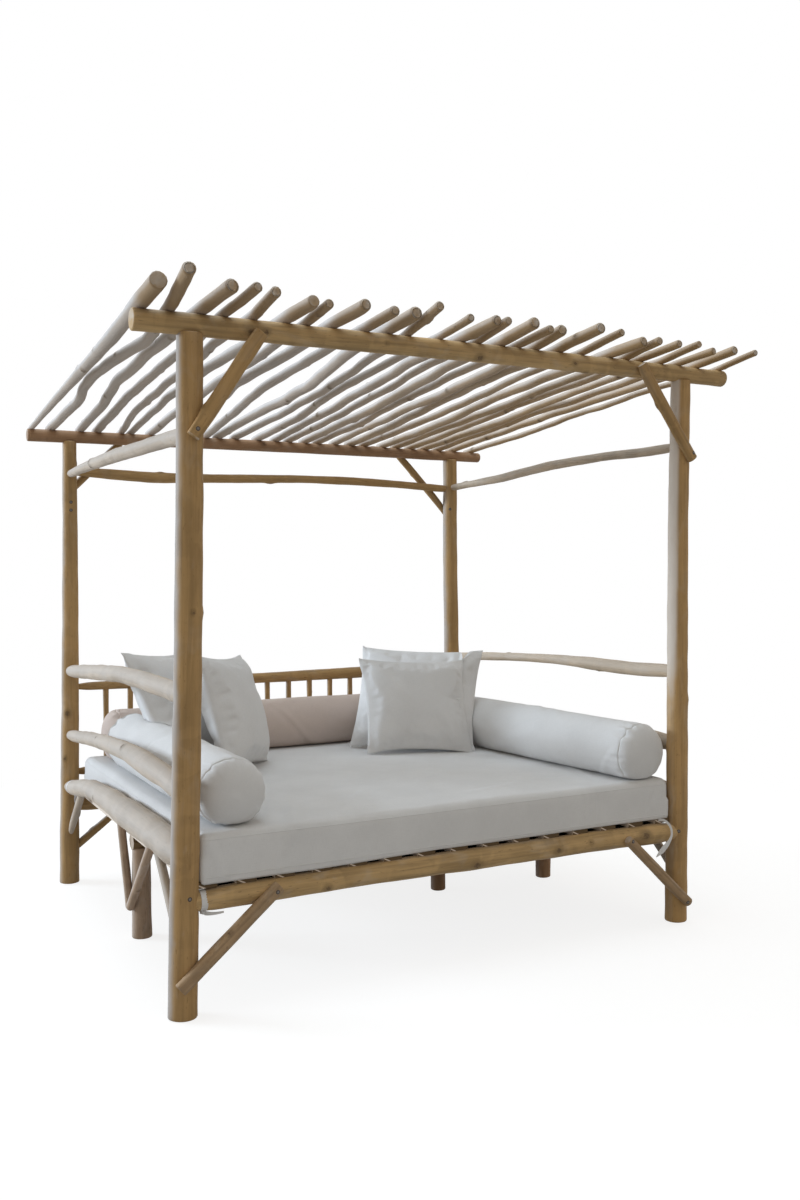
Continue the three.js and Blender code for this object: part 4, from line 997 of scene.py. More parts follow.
def rounded_box(low, high, radius, low_radius, spacing):
    """A box with round edges: each point of a grid over the six sides of the box is drawn in to
    the box that is smaller by the radius, and set off from there by the radius in the direction
    it came from. Gives points, quads and one UV pair for each corner, in metres."""
    low, high = np.array(low), np.array(high)
    half, centre = (high - low) / 2, (high + low) / 2
    counts = np.maximum(2, np.ceil(2 * half / spacing)).astype(int)
    corners, uvs = [], []
    for axis in range(3):
        a, b = [k for k in range(3) if k != axis]
        for sign in (-1, 1):
            u = np.linspace(-half[a], half[a], counts[a] + 1)
            v = np.linspace(-half[b], half[b], counts[b] + 1)
            grid_u, grid_v = np.meshgrid(u, v, indexing="ij")
            place = np.empty((*grid_u.shape, 3))
            place[..., a], place[..., b], place[..., axis] = grid_u, grid_v, sign * half[axis]
            quad = np.stack([place[:-1, :-1], place[1:, :-1], place[1:, 1:], place[:-1, 1:]], 2)
            flat = np.stack([grid_u, grid_v], -1)
            uv = np.stack([flat[:-1, :-1], flat[1:, :-1], flat[1:, 1:], flat[:-1, 1:]], 2)
            outward = sign * (1 if (a, b) != (0, 2) else -1)
            if outward < 0:
                quad, uv = quad[:, :, ::-1], uv[:, :, ::-1]
            corners.append(quad.reshape(-1, 4, 3))
            uvs.append(uv.reshape(-1, 4, 2))
    corners, uvs = np.concatenate(corners), np.concatenate(uvs)
    _, first, same = np.unique(
        np.round(corners.reshape(-1, 3) * 1e5).astype(np.int64), axis=0,
        return_index=True, return_inverse=True,
    )
    points = corners.reshape(-1, 3)[first]
    round_off = np.where(points[:, 2:] < 0, low_radius, radius)
    inner = np.clip(points, -(half - round_off), half - round_off)
    away = points - inner
    size = np.linalg.norm(away, axis=1, keepdims=True)
    points = inner + away / np.maximum(size, 1e-9) * np.minimum(size, round_off)
    return points + centre, same.ravel().reshape(-1, 4), uvs.reshape(-1, 2)


def bell(distance, width):
    return np.exp(-(distance / width) ** 2)


def gathers(along, seed, count, wave):
    """A sum of sines along a seam with uneven lengths: the gathers of the cloth sewn into it."""
    random = np.random.default_rng(seed)
    total = np.zeros_like(along)
    for _ in range(count):
        pace = 2 * math.pi / (wave * random.uniform(0.6, 1.7))
        total += np.sin(pace * along + random.uniform(0, 2 * math.pi))
    return total / count ** 0.5


def piping(cover, level, low, high, radius=0.0018, step=0.009, sides=8):
    """A thin round welt along the seam: rays from a rounded rectangle round the cover find its
    surface at the seam's level, the line through the hits is smoothed, and a small circle
    follows it half sunk into the cloth."""
    half, centre = (np.array(high) - low)[:2] / 2, (np.array(high) + low)[:2] / 2
    around = np.linspace(0, 2 * math.pi, 2000, endpoint=False)
    form = (abs(np.cos(around)) ** 18 + abs(np.sin(around)) ** 18) ** (-1 / 18)
    rim = np.stack([np.cos(around), np.sin(around)], -1) * form[:, None] * (half + 0.03) + centre
    inner = np.clip(rim, centre - half + 0.04, centre + half - 0.04)
    run = np.concatenate([[0], np.cumsum(np.linalg.norm(np.diff(rim, axis=0), axis=1))])
    picks = np.interp(np.arange(0, run[-1], step), run, np.arange(len(run))).astype(int)
    hits = []
    for start, aim in zip(rim[picks], inner[picks]):
        way = Vector((*(aim - start), 0)).normalized()
        hit, spot, _, _ = cover.ray_cast(Vector((*start, level)), way)
        if hit:
            hits.append(spot)
    line = np.array(hits)
    looped = np.concatenate([line[-8:], line, line[:8]])
    line = smoothed(looped, 1.2)[8:-8]
    tangent = unit(np.roll(line, -1, axis=0) - np.roll(line, 1, axis=0))
    side = unit(np.cross(tangent, UP))
    angle = np.linspace(0, 2 * math.pi, sides, endpoint=False)[None, :, None]
    ring = np.cos(angle) * side[:, None] + np.sin(angle) * UP
    points = line[:, None] + radius * ring
    rows = np.arange(len(line))[:, None] * sides
    after_rows = (np.arange(len(line))[:, None] + 1) % len(line) * sides
    column = np.arange(sides)[None, :]
    after = (column + 1) % sides
    quads = np.stack([rows + column, rows + after, after_rows + after, after_rows + column], -1)
    quads = quads.reshape(-1, 4)
    along = quads // sides * step
    uv = np.stack([along, quads % sides * radius * 0.8], -1)
    return points.reshape(-1, 3), quads, uv.reshape(-1, 2)


class DAYBED_OT_mattress(bpy.types.Operator):
    """Make the mattress with its crowned top, drawn-in sides and soft creases"""
    bl_idname = "daybed.mattress"
    bl_label = "Mattress"

    def execute(self, context):
        cushions = context.scene.daybed_cushions
        low, high = (np.array(corner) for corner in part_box("mattress"))
        bottom, top = SLAT_TOP + 0.0004, MATTRESS_TOP
        box_low = np.array([low[0] - 0.002, low[1] - 0.012, bottom])
        box_high = np.array([high[0] + 0.004, high[1], top])
        points, quads, uv = rounded_box(box_low, box_high, 0.030, 0.012, 0.0125)
        half, centre = (box_high - box_low) / 2, (box_high + box_low) / 2
        x, y, z = ((points - centre) / half).T
        px, py, pz = points.T
        top_share = np.clip((pz - (top - 0.04)) / 0.04, 0, 1)
        side_share = 1 - abs(z) ** 6
        crown = 0.006 * (1 - x ** 2) * (1 - y ** 2)
        pull = 0.002
        on_x = np.clip((abs(x) - 0.93) / 0.07, 0, 1)
        on_y = np.clip((abs(y) - 0.93) / 0.07, 0, 1)
        px = px - np.sign(x) * on_x * pull * (1 - y ** 2)
        py = py - np.sign(y) * on_y * pull * (1 - x ** 2)
        crease = cushions.crease
        soft = 0.8 * np.sin(3.1 * px + 2.3 * py) * np.sin(4.7 * py - 1.9 * px + 0.7)
        soft += 0.5 * np.sin(7.9 * px - 3.3 * py + 1.1) * np.sin(6.1 * py + 2.2)
        pz = pz + top_share * (crown + 0.8 * crease * soft)
        for mx, my, turn, length, width, rise in (
            (0.28, -0.55, 0.25, 0.22, 0.016, 0.8), (0.42, -0.50, -0.2, 0.18, 0.014, 0.7),
            (-0.35, -0.52, 0.9, 0.2, 0.02, 0.6), (0.10, -0.30, 0.5, 0.25, 0.022, 0.5),
            (-0.62, -0.60, 1.2, 0.16, 0.018, 0.8), (0.70, -0.45, 1.3, 0.2, 0.018, 0.6),
        ):
            along = (px - mx) * math.cos(turn) + (py - my) * math.sin(turn)
            over = (py - my) * math.cos(turn) - (px - mx) * math.sin(turn)
            pz = pz + 1.5 * top_share * rise * crease * bell(along, length) * (
                bell(over, width) - 0.6 * bell(over - 2 * width, width * 1.4))
        seam_top, seam_low = bell(pz - (top - 0.012), 0.016), bell(pz - (bottom + 0.012), 0.016)
        near_seam = np.exp(-abs(points[:, 2] - (top - 0.012)) / 0.03)
        near_low = np.exp(-abs(points[:, 2] - (bottom + 0.012)) / 0.03)
        ruffle_x = gathers(py, 5, 6, 0.075)
        ruffle_y = gathers(px, 6, 6, 0.075)
        pucker = cushions.pucker
        drape_y = 0.9 * np.sin(6.3 * px + 0.4) * np.sin(2.4 * px) + 0.5 * np.sin(14.3 * px + 2.0)
        drape_x = 0.9 * np.sin(5.7 * py + 1.4) + 0.5 * np.sin(12.1 * py)
        ruffles = 0.55 * pucker * (near_seam + 0.8 * near_low)
        py = py + np.sign(y) * on_y * side_share * (ruffles * ruffle_y + 0.7 * crease * drape_y)
        px = px + np.sign(x) * on_x * side_share * (ruffles * ruffle_x + 0.7 * crease * drape_x)
        front = on_y * (y < 0) * side_share
        for fx, lean, width, depth in (
            (0.505, 0.10, 0.007, 0.9), (0.535, 0.02, 0.009, 1.0), (0.575, -0.12, 0.006, 0.7),
            (-0.42, 0.3, 0.014, 0.7), (-0.93, -0.35, 0.012, 0.9), (0.05, 0.15, 0.016, 0.6),
            (0.80, 0.3, 0.012, 0.6), (-0.70, 0.5, 0.016, 0.8),
        ):
            line = px - fx - lean * (points[:, 2] - centre[2])
            py = py - 1.4 * front * depth * crease * (
                bell(line, width) - 0.5 * bell(line - 0.02, 0.012))
        groove = 0.0016 * (seam_top + 0.8 * seam_low)
        py = py - np.sign(y) * on_y * groove
        px = px - np.sign(x) * on_x * groove
        droop = 0.003 + 0.012 * np.clip((-0.1 - x) / 0.5, 0, 1) + 0.0012 * np.sin(9.0 * px)
        over_edge = np.clip((low[1] - points[:, 1]) / 0.012, 0, 1)
        near_bottom = np.clip((bottom + 0.05 - points[:, 2]) / 0.05, 0, 1)
        pz = pz - droop * over_edge * near_bottom
        points = np.stack([px, py, pz], -1)
        points = np.clip(points, low - 0.018, high + 0.009)
        cover = finished("bare_cover", points, [quads], "white")
        parts = [(points, quads, uv)]
        for level in (top - 0.020, bottom + 0.016):
            parts.append(piping(cover, level, box_low, box_high))
        bpy.data.objects.remove(cover)
        counts = np.cumsum([0, *(len(part[0]) for part in parts[:-1])])
        points = np.concatenate([part[0] for part in parts])
        quads = np.concatenate([part[1] + start for part, start in zip(parts, counts)])
        uv = np.concatenate([part[2] for part in parts])
        piece = finished("mattress_cover", points, [quads], "white", uv=uv)
        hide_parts("mattress")
        return {"FINISHED"}


def places_of(piece):
    places = np.empty(len(piece.data.vertices) * 3, np.float32)
    piece.data.vertices.foreach_get("co", places)
    return places.reshape(-1, 3).astype(float)


def set_places(piece, points):
    piece.data.vertices.foreach_set("co", np.asarray(points, np.float32).ravel())
    piece.data.update()


def filled(piece, pressure, frames, reach, pinned=None, shrink=None, stiffness=15.0):
    """Fills a sewn cover: Cloth with pressure and no gravity runs from frame 1 to frames, each
    point moves at most reach from where it was, and no Cloth is left on the piece."""
    scene = bpy.context.scene
    scene.frame_start, scene.frame_end = 1, frames
    scene.frame_set(1)
    cloth = piece.modifiers.new("Filling", "CLOTH")
    settings = cloth.settings
    settings.quality = 6
    settings.mass = 0.15
    settings.tension_stiffness = stiffness
    settings.compression_stiffness = stiffness
    settings.shear_stiffness = 0.5 * stiffness
    settings.bending_stiffness = 0.4
    settings.use_pressure = True
    settings.uniform_pressure_force = pressure
    settings.effector_weights.gravity = 0
    if shrink is not None:
        group = piece.vertex_groups.new(name="sewn")
        for level in np.unique(np.round(shrink, 1)):
            if level > 0:
                which = np.flatnonzero(np.round(shrink, 1) == level)
                group.add(which.tolist(), float(level), "REPLACE")
        settings.vertex_group_shrink = "sewn"
        settings.shrink_min = 0.0
        settings.shrink_max = 0.08
    cloth.collision_settings.use_collision = False
    cloth.point_cache.frame_start, cloth.point_cache.frame_end = 1, frames
    for number in range(1, frames + 1):
        scene.frame_set(number)
    shown = piece.evaluated_get(bpy.context.evaluated_depsgraph_get())
    blown = np.empty(len(piece.data.vertices) * 3, np.float32)
    shown.data.vertices.foreach_get("co", blown)
    blown = blown.reshape(-1, 3).astype(float)
    piece.modifiers.remove(cloth)
    scene.frame_set(1)
    before = places_of(piece)
    move = blown - before
    size = np.linalg.norm(move, axis=1, keepdims=True)
    return before + move / np.maximum(size, 1e-9) * np.minimum(size, reach)


def pressed(piece, neighbours, gap=0.0012):
    """Cloth that would lie inside a neighbour is laid on the neighbour's surface instead."""
    for neighbour in neighbours:
        wrap = piece.modifiers.new("Pressed", "SHRINKWRAP")
        wrap.target = neighbour
        wrap.wrap_method = "NEAREST_SURFACEPOINT"
        wrap.wrap_mode = "OUTSIDE"
        wrap.offset = gap
    bpy.context.view_layer.update()
    shown = piece.evaluated_get(bpy.context.evaluated_depsgraph_get())
    places = np.empty(len(piece.data.vertices) * 3, np.float32)
    shown.data.vertices.foreach_get("co", places)
    piece.modifiers.clear()
    set_places(piece, places.reshape(-1, 3))


def grown(piece, levels=1):
    """One level of subdivision, live in the view and in the render alike."""
    smooth = piece.modifiers.new("Subdivision", "SUBSURF")
    smooth.levels = smooth.render_levels = levels
    smooth.boundary_smooth = "PRESERVE_CORNERS"


BOLSTERS = {
    "left_bolster": ((-0.847, -0.7107), (-0.847, 0.6353), "white", "white_fabric"),
    "right_bolster": ((0.805, -0.7507), (0.683, 0.6353), "white", "white_fabric"),
    "back_bolster": ((-0.934, 0.7603), (0.8589, 0.7603), "taupe", "taupe_fabric"),
}
BOLSTER_RADIUS = 0.113
BOLSTER_DOME = 0.060
BOLSTER_HEIGHT = 0.6723


def bolster_surface(start, end, seed, crease, pucker):
    """A sewn roll: a circle carried from start to end. Its radius follows a dome of the power
    0.8 at each end and a slight crown between. Beside the ring seam, where dome and side meet,
    gathers fade out over four centimetres, and long low creases run along the side."""
    start, end = np.array([*start, BOLSTER_HEIGHT]), np.array([*end, BOLSTER_HEIGHT])
    length = np.linalg.norm(end - start)
    direction = unit(end - start)
    side = np.cross(UP, direction)
    turn = np.linspace(0.06, math.pi / 2, 11)
    dome_s = BOLSTER_DOME * (1 - np.cos(turn))
    dome_r = BOLSTER_RADIUS * np.sin(turn) ** 0.8
    middle = np.linspace(BOLSTER_DOME, length - BOLSTER_DOME, int(length / 0.0125))
    share = (middle - BOLSTER_DOME) / (length - 2 * BOLSTER_DOME)
    middle_r = BOLSTER_RADIUS + 0.004 * np.sin(math.pi * share)
    beside = np.array([0.0012, 0.0026, 0.0045, 0.0075])
    dome_s = np.concatenate([dome_s[dome_s < BOLSTER_DOME - 0.009], BOLSTER_DOME - beside[::-1]])
    dome_r = BOLSTER_RADIUS * np.sin(np.arccos(1 - dome_s / BOLSTER_DOME)) ** 0.8
    body_s = np.concatenate([
        [BOLSTER_DOME], BOLSTER_DOME + beside, middle[1:-1],
        length - BOLSTER_DOME - beside[::-1], [length - BOLSTER_DOME],
    ])
    body_r = np.interp(body_s, middle, middle_r)
    s = np.concatenate([dome_s, body_s, (length - dome_s)[::-1]])
    r = np.concatenate([dome_r, body_r, dome_r[::-1]])
    sides = 72
    angle = np.linspace(0, 2 * math.pi, sides, endpoint=False)[None, :]
    along, radius = s[:, None], r[:, None]
    from_seam = np.minimum(abs(along - BOLSTER_DOME), abs(length - BOLSTER_DOME - along))
    near_first = along < length / 2
    ruffle = np.where(
        near_first, gathers(angle * BOLSTER_RADIUS, seed, 7, 0.044),
        gathers(angle * BOLSTER_RADIUS, seed + 1, 7, 0.044),
    )
    on_body = (along > BOLSTER_DOME) & (along < length - BOLSTER_DOME)
    fade = np.where(on_body, 0.045, 0.02)
    out = radius + 2.8 * pucker * ruffle * np.exp(-from_seam / fade) * np.clip(
        from_seam / 0.005, 0.35, 1)
    out = out - 0.004 * bell(from_seam, 0.007) + 0.0062 * bell(from_seam, 0.0022)
    random = np.random.default_rng(seed)
    for _ in range(14):
        place, turn_at = random.uniform(0.1, length - 0.1), random.uniform(0, 2 * math.pi)
        slant, long = random.uniform(-1.2, 1.2), random.uniform(0.06, 0.2)
        line = ((angle - turn_at + math.pi) % (2 * math.pi) - math.pi) * BOLSTER_RADIUS
        line = line - slant * (along - place)
        wide = random.uniform(0.012, 0.026)
        out = out + 1.1 * crease * bell(along - place, long) * (
            bell(line, wide) - 0.7 * bell(line - 1.8 * wide, 1.3 * wide))
    out = out + 0.4 * crease * np.sin(2 * angle + 5 * along + seed) * np.sin(9 * along + seed)
    ring = np.cos(angle)[..., None] * side + np.sin(angle)[..., None] * UP
    points = start + along[..., None] * direction + out[..., None] * ring
    rows = len(s)
    tips = np.stack([start, end])
    points = np.concatenate([points.reshape(-1, 3), tips])
    quads, fan = tube_faces(rows, sides), fans(rows, sides)
    row, column = np.divmod(quads[:, 0], sides)
    reach_s = np.concatenate([[0], np.cumsum(np.hypot(np.diff(s), np.diff(r)))])
    step = 2 * math.pi * BOLSTER_RADIUS / sides
    uv_quads = np.stack([
        np.stack([column * step, reach_s[row]], -1), np.stack([(column + 1) * step, reach_s[row]], -1),
        np.stack([(column + 1) * step, reach_s[row + 1]], -1), np.stack([column * step, reach_s[row + 1]], -1),
    ], 1)
    uv_fan = np.zeros((len(fan), 3, 2))
    uv = np.concatenate([uv_quads.reshape(-1, 2), uv_fan.reshape(-1, 2)])
    return points, quads, fan, uv


def rested(points, level, give=0.012):
    """Presses what would sink below the level flat on to it, with a soft start above it."""
    z = points[:, 2]
    depth = np.clip((level + give - z) / give, 0, None)
    points[:, 2] = np.where(z < level + give, level + give * 0.25 * np.clip(2 - depth, 0, 2) ** 2 * (z > level - give) , z)
    points[:, 2] = np.where(z <= level - give, level, points[:, 2])
    return points


class DAYBED_OT_bolsters(bpy.types.Operator):
    """Make the three bolsters with their domed ends, gathered seams and creases"""
    bl_idname = "daybed.bolsters"
    bl_label = "Bolsters"

    def execute(self, context):
        cushions = context.scene.daybed_cushions
        for number, (node, (start, end, material, slot)) in enumerate(BOLSTERS.items()):
            points, quads, fan, uv = bolster_surface(
                start, end, 70 + number, cushions.crease, cushions.pucker)
            piece = finished(f"{node}_cover", points, [quads, fan], material, uv=uv)
            swollen = filled(piece, 2.0, 10, 0.006)
            set_places(piece, rested(swollen, MATTRESS_TOP + 0.004))
            rails = [bpy.data.objects[f"{name}_log"] for name in (
                "left_bed_rail", "left_lower_arm", "right_bed_rail", "right_lower_arm",
                "front_left_post", "front_right_post", "back_left_post", "back_right_post",
            )]
            if node == "back_bolster":
                rails = []
            pressed(piece, rails)
            grown(piece)
            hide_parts(node)
        return {"FINISHED"}


# Width, height, thickness, place to the right and to the back of the front left post's foot,
# turn, lean and roll in degrees, and how far the sides lean over as a share of the height
PILLOWS = {
    "right_front_pillow": (0.486, 0.442, 0.150, 1.361, 0.950, -17.0, 20.0, 2.0, -0.055),
    "right_back_pillow": (0.584, 0.498, 0.160, 1.396, 1.061, -36.0, 25.0, 1.7, 0.025),
    "left_front_pillow": (0.471, 0.482, 0.185, 0.570, 0.951, 50.0, 16.0, 4.0, 0.0),
    "left_back_pillow": (0.470, 0.528, 0.180, 0.407, 1.062, 45.0, 28.0, 5.0, 0.0),
}


def pillow_frame(width, height, left, back, turn, lean, roll):
    turn, lean, roll = (math.radians(value) for value in (turn, lean, roll))
    lift = width / 2 * math.sin(abs(roll))
    foot = Vector((POST_FOOT[0] + left, POST_FOOT[1] + back, MATTRESS_TOP - 0.006 + lift))
    return (
        Matrix.Translation(foot) @ Matrix.Rotation(turn, 4, "Z") @ Matrix.Rotation(-lean, 4, "X")
        @ Matrix.Rotation(roll, 4, "Y") @ Matrix.Translation((0, 0, height / 2))
    )


def sewn_pillow(width, thickness, height, cells, seed, cushions):
    """Two crowned squares of cloth on a grid of u and v from -1 to 1, sewn together all round.
    They stand apart by the thickness * ((1 - u^2)(1 - v^2))^0.5, the sides are drawn in between
    the corners, and creases run from the corners to the middle. The last result is the share of
    each point in the seam, for the shrinking of its cloth."""
    turn = np.linspace(-math.pi / 2, math.pi / 2, cells + 1)
    u = 0.55 * np.sin(turn) + 0.45 * turn / (math.pi / 2)
    grid_u, grid_v = np.meshgrid(u, u, indexing="ij")
    loft = (np.clip((1 - grid_u ** 2) * (1 - grid_v ** 2), 0, None)) ** 0.5
    row = cells + 1
    corner = np.arange(cells)[:, None] * row + np.arange(cells)[None, :]
    front_quads = np.stack([corner, corner + row, corner + row + 1, corner + 1], -1).reshape(-1, 4)
    random = np.random.default_rng(seed)
    places = []
    for sign in (-1, 1):
        out = thickness / 2 * loft
        for _ in range(7):
            at_u, at_v = random.choice([-1, 1], 2) * random.uniform(0.5, 0.85, 2)
            aim = math.atan2(-at_v, -at_u) + random.uniform(-0.5, 0.5)
            along = (grid_u - at_u) * math.cos(aim) + (grid_v - at_v) * math.sin(aim)
            over = (grid_v - at_v) * math.cos(aim) - (grid_u - at_u) * math.sin(aim)
            wide = random.uniform(0.06, 0.11)
            out = out + 1.7 * cushions.crease * loft * bell(along, random.uniform(0.25, 0.5)) * (
                bell(over, wide) - 0.8 * bell(over - 2.1 * wide, 1.4 * wide))
        lean = random.uniform(0.5, 1.0)
        for pace, depth in ((2.6, 1.5), (5.3, 0.8)):
            wave = pace * (grid_u * lean + grid_v) + random.uniform(0, 2 * math.pi)
            out = out + depth * cushions.crease * loft * np.sin(wave)
        rim = np.maximum(abs(grid_u), abs(grid_v))
        line = np.where(abs(grid_u) > abs(grid_v), grid_v * height, grid_u * width) / 2
        out = out + 0.6 * cushions.pucker * loft ** 0.5 * gathers(line, seed + sign, 7, 0.05) * np.exp(
            -(1 - rim) / 0.11)
        x = width / 2 * grid_u * (1 - 0.05 * (1 - grid_v ** 2))
        z = height / 2 * grid_v * (1 - 0.05 * (1 - grid_u ** 2))
        places.append(np.stack([x, sign * out, z], -1).reshape(-1, 3))
    rim = (abs(grid_u) > 0.9999) | (abs(grid_v) > 0.9999)
    number = np.arange(row * row).reshape(row, row)
    back = np.where(rim, number, number + row * row).ravel()
    quads = np.concatenate([front_quads, back[front_quads][:, ::-1]])
    points = np.concatenate(places)
    used, same = np.unique(quads, return_inverse=True)
    flat = np.stack([grid_u * width / 2, grid_v * height / 2], -1).reshape(-1, 2)
    uv = np.concatenate([flat[front_quads], flat[front_quads][:, ::-1] + 3.0]).reshape(-1, 2)
    near = np.clip((np.maximum(abs(grid_u), abs(grid_v)) - 0.9) / 0.1, 0, 1).ravel()
    return points[used], same.ravel().reshape(-1, 4), uv, np.concatenate([near, near])[used]


class DAYBED_OT_pillows(bpy.types.Operator):
    """Make the four loose pillows as sewn covers that are filled by simulation"""
    bl_idname = "daybed.pillows"
    bl_label = "Pillows"

    def execute(self, context):
        cushions = context.scene.daybed_cushions
        made = {}
        for number, (node, sizes) in enumerate(PILLOWS.items()):
            width, height, thickness, left, back, turn, lean, roll, skew = sizes
            points, quads, uv, seam = sewn_pillow(width, thickness, height, 52, 40 + number, cushions)
            piece = finished(f"{node}_cover", points, [quads], "white", uv=uv)
            blown = filled(piece, cushions.pressure, cushions.frames, 0.02, shrink=seam)
            size = blown.max(0) - blown.min(0)
            blown = blown - (blown.max(0) + blown.min(0)) / 2
            blown = blown * (np.array([width, thickness, height]) / size)
            blown[:, 0] += skew * blown[:, 2]
            matrix = np.array(pillow_frame(width, height, left, back, turn, lean, roll))
            placed = blown @ matrix[:3, :3].T + matrix[:3, 3]
            set_places(piece, rested(placed, MATTRESS_TOP + 0.004))
            neighbours = [bpy.data.objects[f"{name}_cover"] for name in (
                "left_bolster", "right_bolster", "back_bolster")]
            if node == "right_back_pillow":
                neighbours.append(made["right_front_pillow"])
            if node == "left_back_pillow":
                neighbours.append(made["left_front_pillow"])
            pressed(piece, neighbours, 0.002)
            grown(piece)
            made[node] = piece
            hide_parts(node)
        return {"FINISHED"}


# Screws and ties


# Log, share of its length from the start, and the way the screw faces
SCREWS = (
    ("front_left_post", 0.178, (0.15, -0.99, 0.0)),
    ("front_right_post", 0.171, (-0.56, -0.83, 0.0)),
    ("front_top_left_brace", 0.055, (-0.2, -0.96, 0.2)),
    ("front_low_left_brace", 0.955, (0.13, -0.98, -0.12)),
    ("front_low_right_brace", 0.955, (-0.27, -0.91, -0.3)),
    ("front_low_right_brace", 0.035, (0.1, -0.95, 0.25)),
    ("front_top_right_brace", 0.048, (0.3, -0.85, 0.4)),
    ("back_left_post", 0.862, (-0.04, -1.0, 0.0)),
    ("back_left_post", 0.844, (-0.05, -1.0, 0.0)),
    ("back_right_post", 0.867, (-0.5, -0.87, 0.0)),
)


def turned(profile, centre, facing, sides=16):
    """A profile of (radius, height) pairs turned about the facing direction, closed at its last
    pair by one point."""
    facing = unit(np.array(facing, float))
    side = unit(np.cross(facing, UP if abs(facing[2]) < 0.9 else ACROSS))
    rise = np.cross(facing, side)
    angle = np.linspace(0, 2 * math.pi, sides, endpoint=False)
    ring = np.cos(angle)[:, None] * side + np.sin(angle)[:, None] * rise
    points = [centre + radius * ring + height * facing for radius, height in profile]
    rows = len(profile)
    points.append((centre + profile[-1][1] * facing)[None])
    points.append((centre + profile[0][1] * facing)[None])
    quads = tube_faces(rows, sides)
    last, side_number = (rows - 1) * sides, np.arange(sides)
    after = (side_number + 1) % sides
    top = np.stack([np.full(sides, rows * sides), last + side_number, last + after], -1)
    foot = np.stack([np.full(sides, rows * sides + 1), after, side_number], -1)
    return np.concatenate(points), quads, np.concatenate([top, foot]), {}


def ribbon_surface(path, across, widths, step=0.005):
    """A flat strip: a smooth line through the path's points, with the width to both sides of it
    in the across direction. Gives points, quads, UV and the strip's length."""
    path, across, widths = (np.array(value, float) for value in (path, across, widths))
    knots = np.concatenate([[0], np.cumsum(np.linalg.norm(np.diff(path, axis=0), axis=1))])
    count = int(knots[-1] / step) + 2
    s = np.linspace(0, knots[-1], count)
    line = smoothed(np.stack([np.interp(s, knots, path[:, k]) for k in range(3)], -1), 1.4)
    turn = unit(smoothed(np.stack([np.interp(s, knots, across[:, k]) for k in range(3)], -1), 1.4))
    wide = np.interp(s, knots, widths)[:, None] / 2
    points = np.stack([line - turn * wide, line + turn * wide], 1).reshape(-1, 3)
    first = np.arange(count - 1) * 2
    quads = np.stack([first, first + 1, first + 3, first + 2], -1)
    length = float(np.linalg.norm(np.diff(line, axis=0), axis=1).sum())
    uv = np.stack([np.stack([-wide[:, 0], s], -1), np.stack([wide[:, 0], s], -1)], 1).reshape(-1, 2)
    return points, quads, uv[quads].reshape(-1, 2), length


def round_loop(log, centre, axis, start, end, gap=0.0015):
    """Points of a loop that lies on a log in the plane square to an axis, from a start to an end
    angle. Angle 0 is to the front, or to the left on a log that runs to the back, and a quarter
    turn is up."""
    ahead = Vector((0, -1, 0)) if axis == 0 else Vector((-1, 0, 0))
    path = []
    for turn in np.radians(np.linspace(start, end, 30)):
        outward = math.cos(turn) * ahead + math.sin(turn) * Vector(UP)
        hit, spot, _, _ = log.ray_cast(Vector(centre) + 0.07 * outward, -outward)
        if not hit:
            raise RuntimeError(f"a tie misses {log.name}")
        path.append(spot + gap * outward)
    return np.array(path)


def facing_front(path):
    """For each point of a path, the direction square to it in which a strip shows its width to
    the front."""
    path = np.array(path, float)
    return unit(np.cross(unit(np.gradient(path, axis=0)), FRONT_VIEW))


def knot_ball(centre, radius, rows=9, sides=14):
    """A lumpy pulled knot: a ball whose radius has three crossing waves for the turns of cloth."""
    turn = np.linspace(0.15, math.pi - 0.15, rows)[:, None]
    angle = np.linspace(0, 2 * math.pi, sides, endpoint=False)[None, :]
    size = radius * (1 + 0.16 * np.sin(2 * angle + 4 * turn) + 0.1 * np.sin(3 * angle - 3 * turn))
    points = np.stack([
        1.15 * size * np.cos(turn) + 0 * angle, size * np.sin(turn) * np.cos(angle),
        size * np.sin(turn) * np.sin(angle),
    ], -1).reshape(-1, 3)
    ends = np.array([[1.12 * radius, 0, 0], [-1.12 * radius, 0, 0]])
    points = np.concatenate([points, ends]) + centre
    quads, triangles = tube_faces(rows, sides)[:, ::-1], fans(rows, sides)[:, ::-1]
    uv = np.concatenate([points[quads][..., :2].reshape(-1, 2), points[triangles][..., :2].reshape(-1, 2)])
    return points, quads, triangles, uv


# The two short ties of the front corners and the cord at the back left corner: the log they are
# tied to, the middle of their loop, its axis, its start and end angle and its width
FRONT_VIEW = np.array([0.468, 0.884, -0.03])
TIE_LOOPS = {
    "left_front_tie": ("front_bed_rail_log", (-0.972, -0.721, 0.357), 0, 200, -98, 0.021),
    "left_back_tie": ("left_bed_rail_log", (-1.031, 0.912, 0.434), 1, 150, -120, 0.012),
}
TIE_TAILS = {
    "left_front_tie": [(0.004, -0.008, -0.006), (0.014, -0.014, -0.008), (0.026, -0.018, -0.009),
                       (0.044, -0.021, -0.009), (0.066, -0.022, -0.008)],
    "left_back_tie": [(-0.008, -0.004, -0.006), (-0.014, -0.008, -0.020), (-0.012, -0.012, -0.036)],
}
RIGHT_TIE = (
    (0.862, -0.735, 0.410), (0.876, -0.754, 0.412), (0.888, -0.768, 0.398), (0.893, -0.777, 0.378),
    (0.890, -0.782, 0.356), (0.879, -0.783, 0.338), (0.863, -0.781, 0.320), (0.843, -0.778, 0.300),
    (0.818, -0.775, 0.279),
)
RIGHT_TIE_WIDTHS = (0.010, 0.010, 0.009, 0.008, 0.008, 0.011, 0.018, 0.020, 0.004)


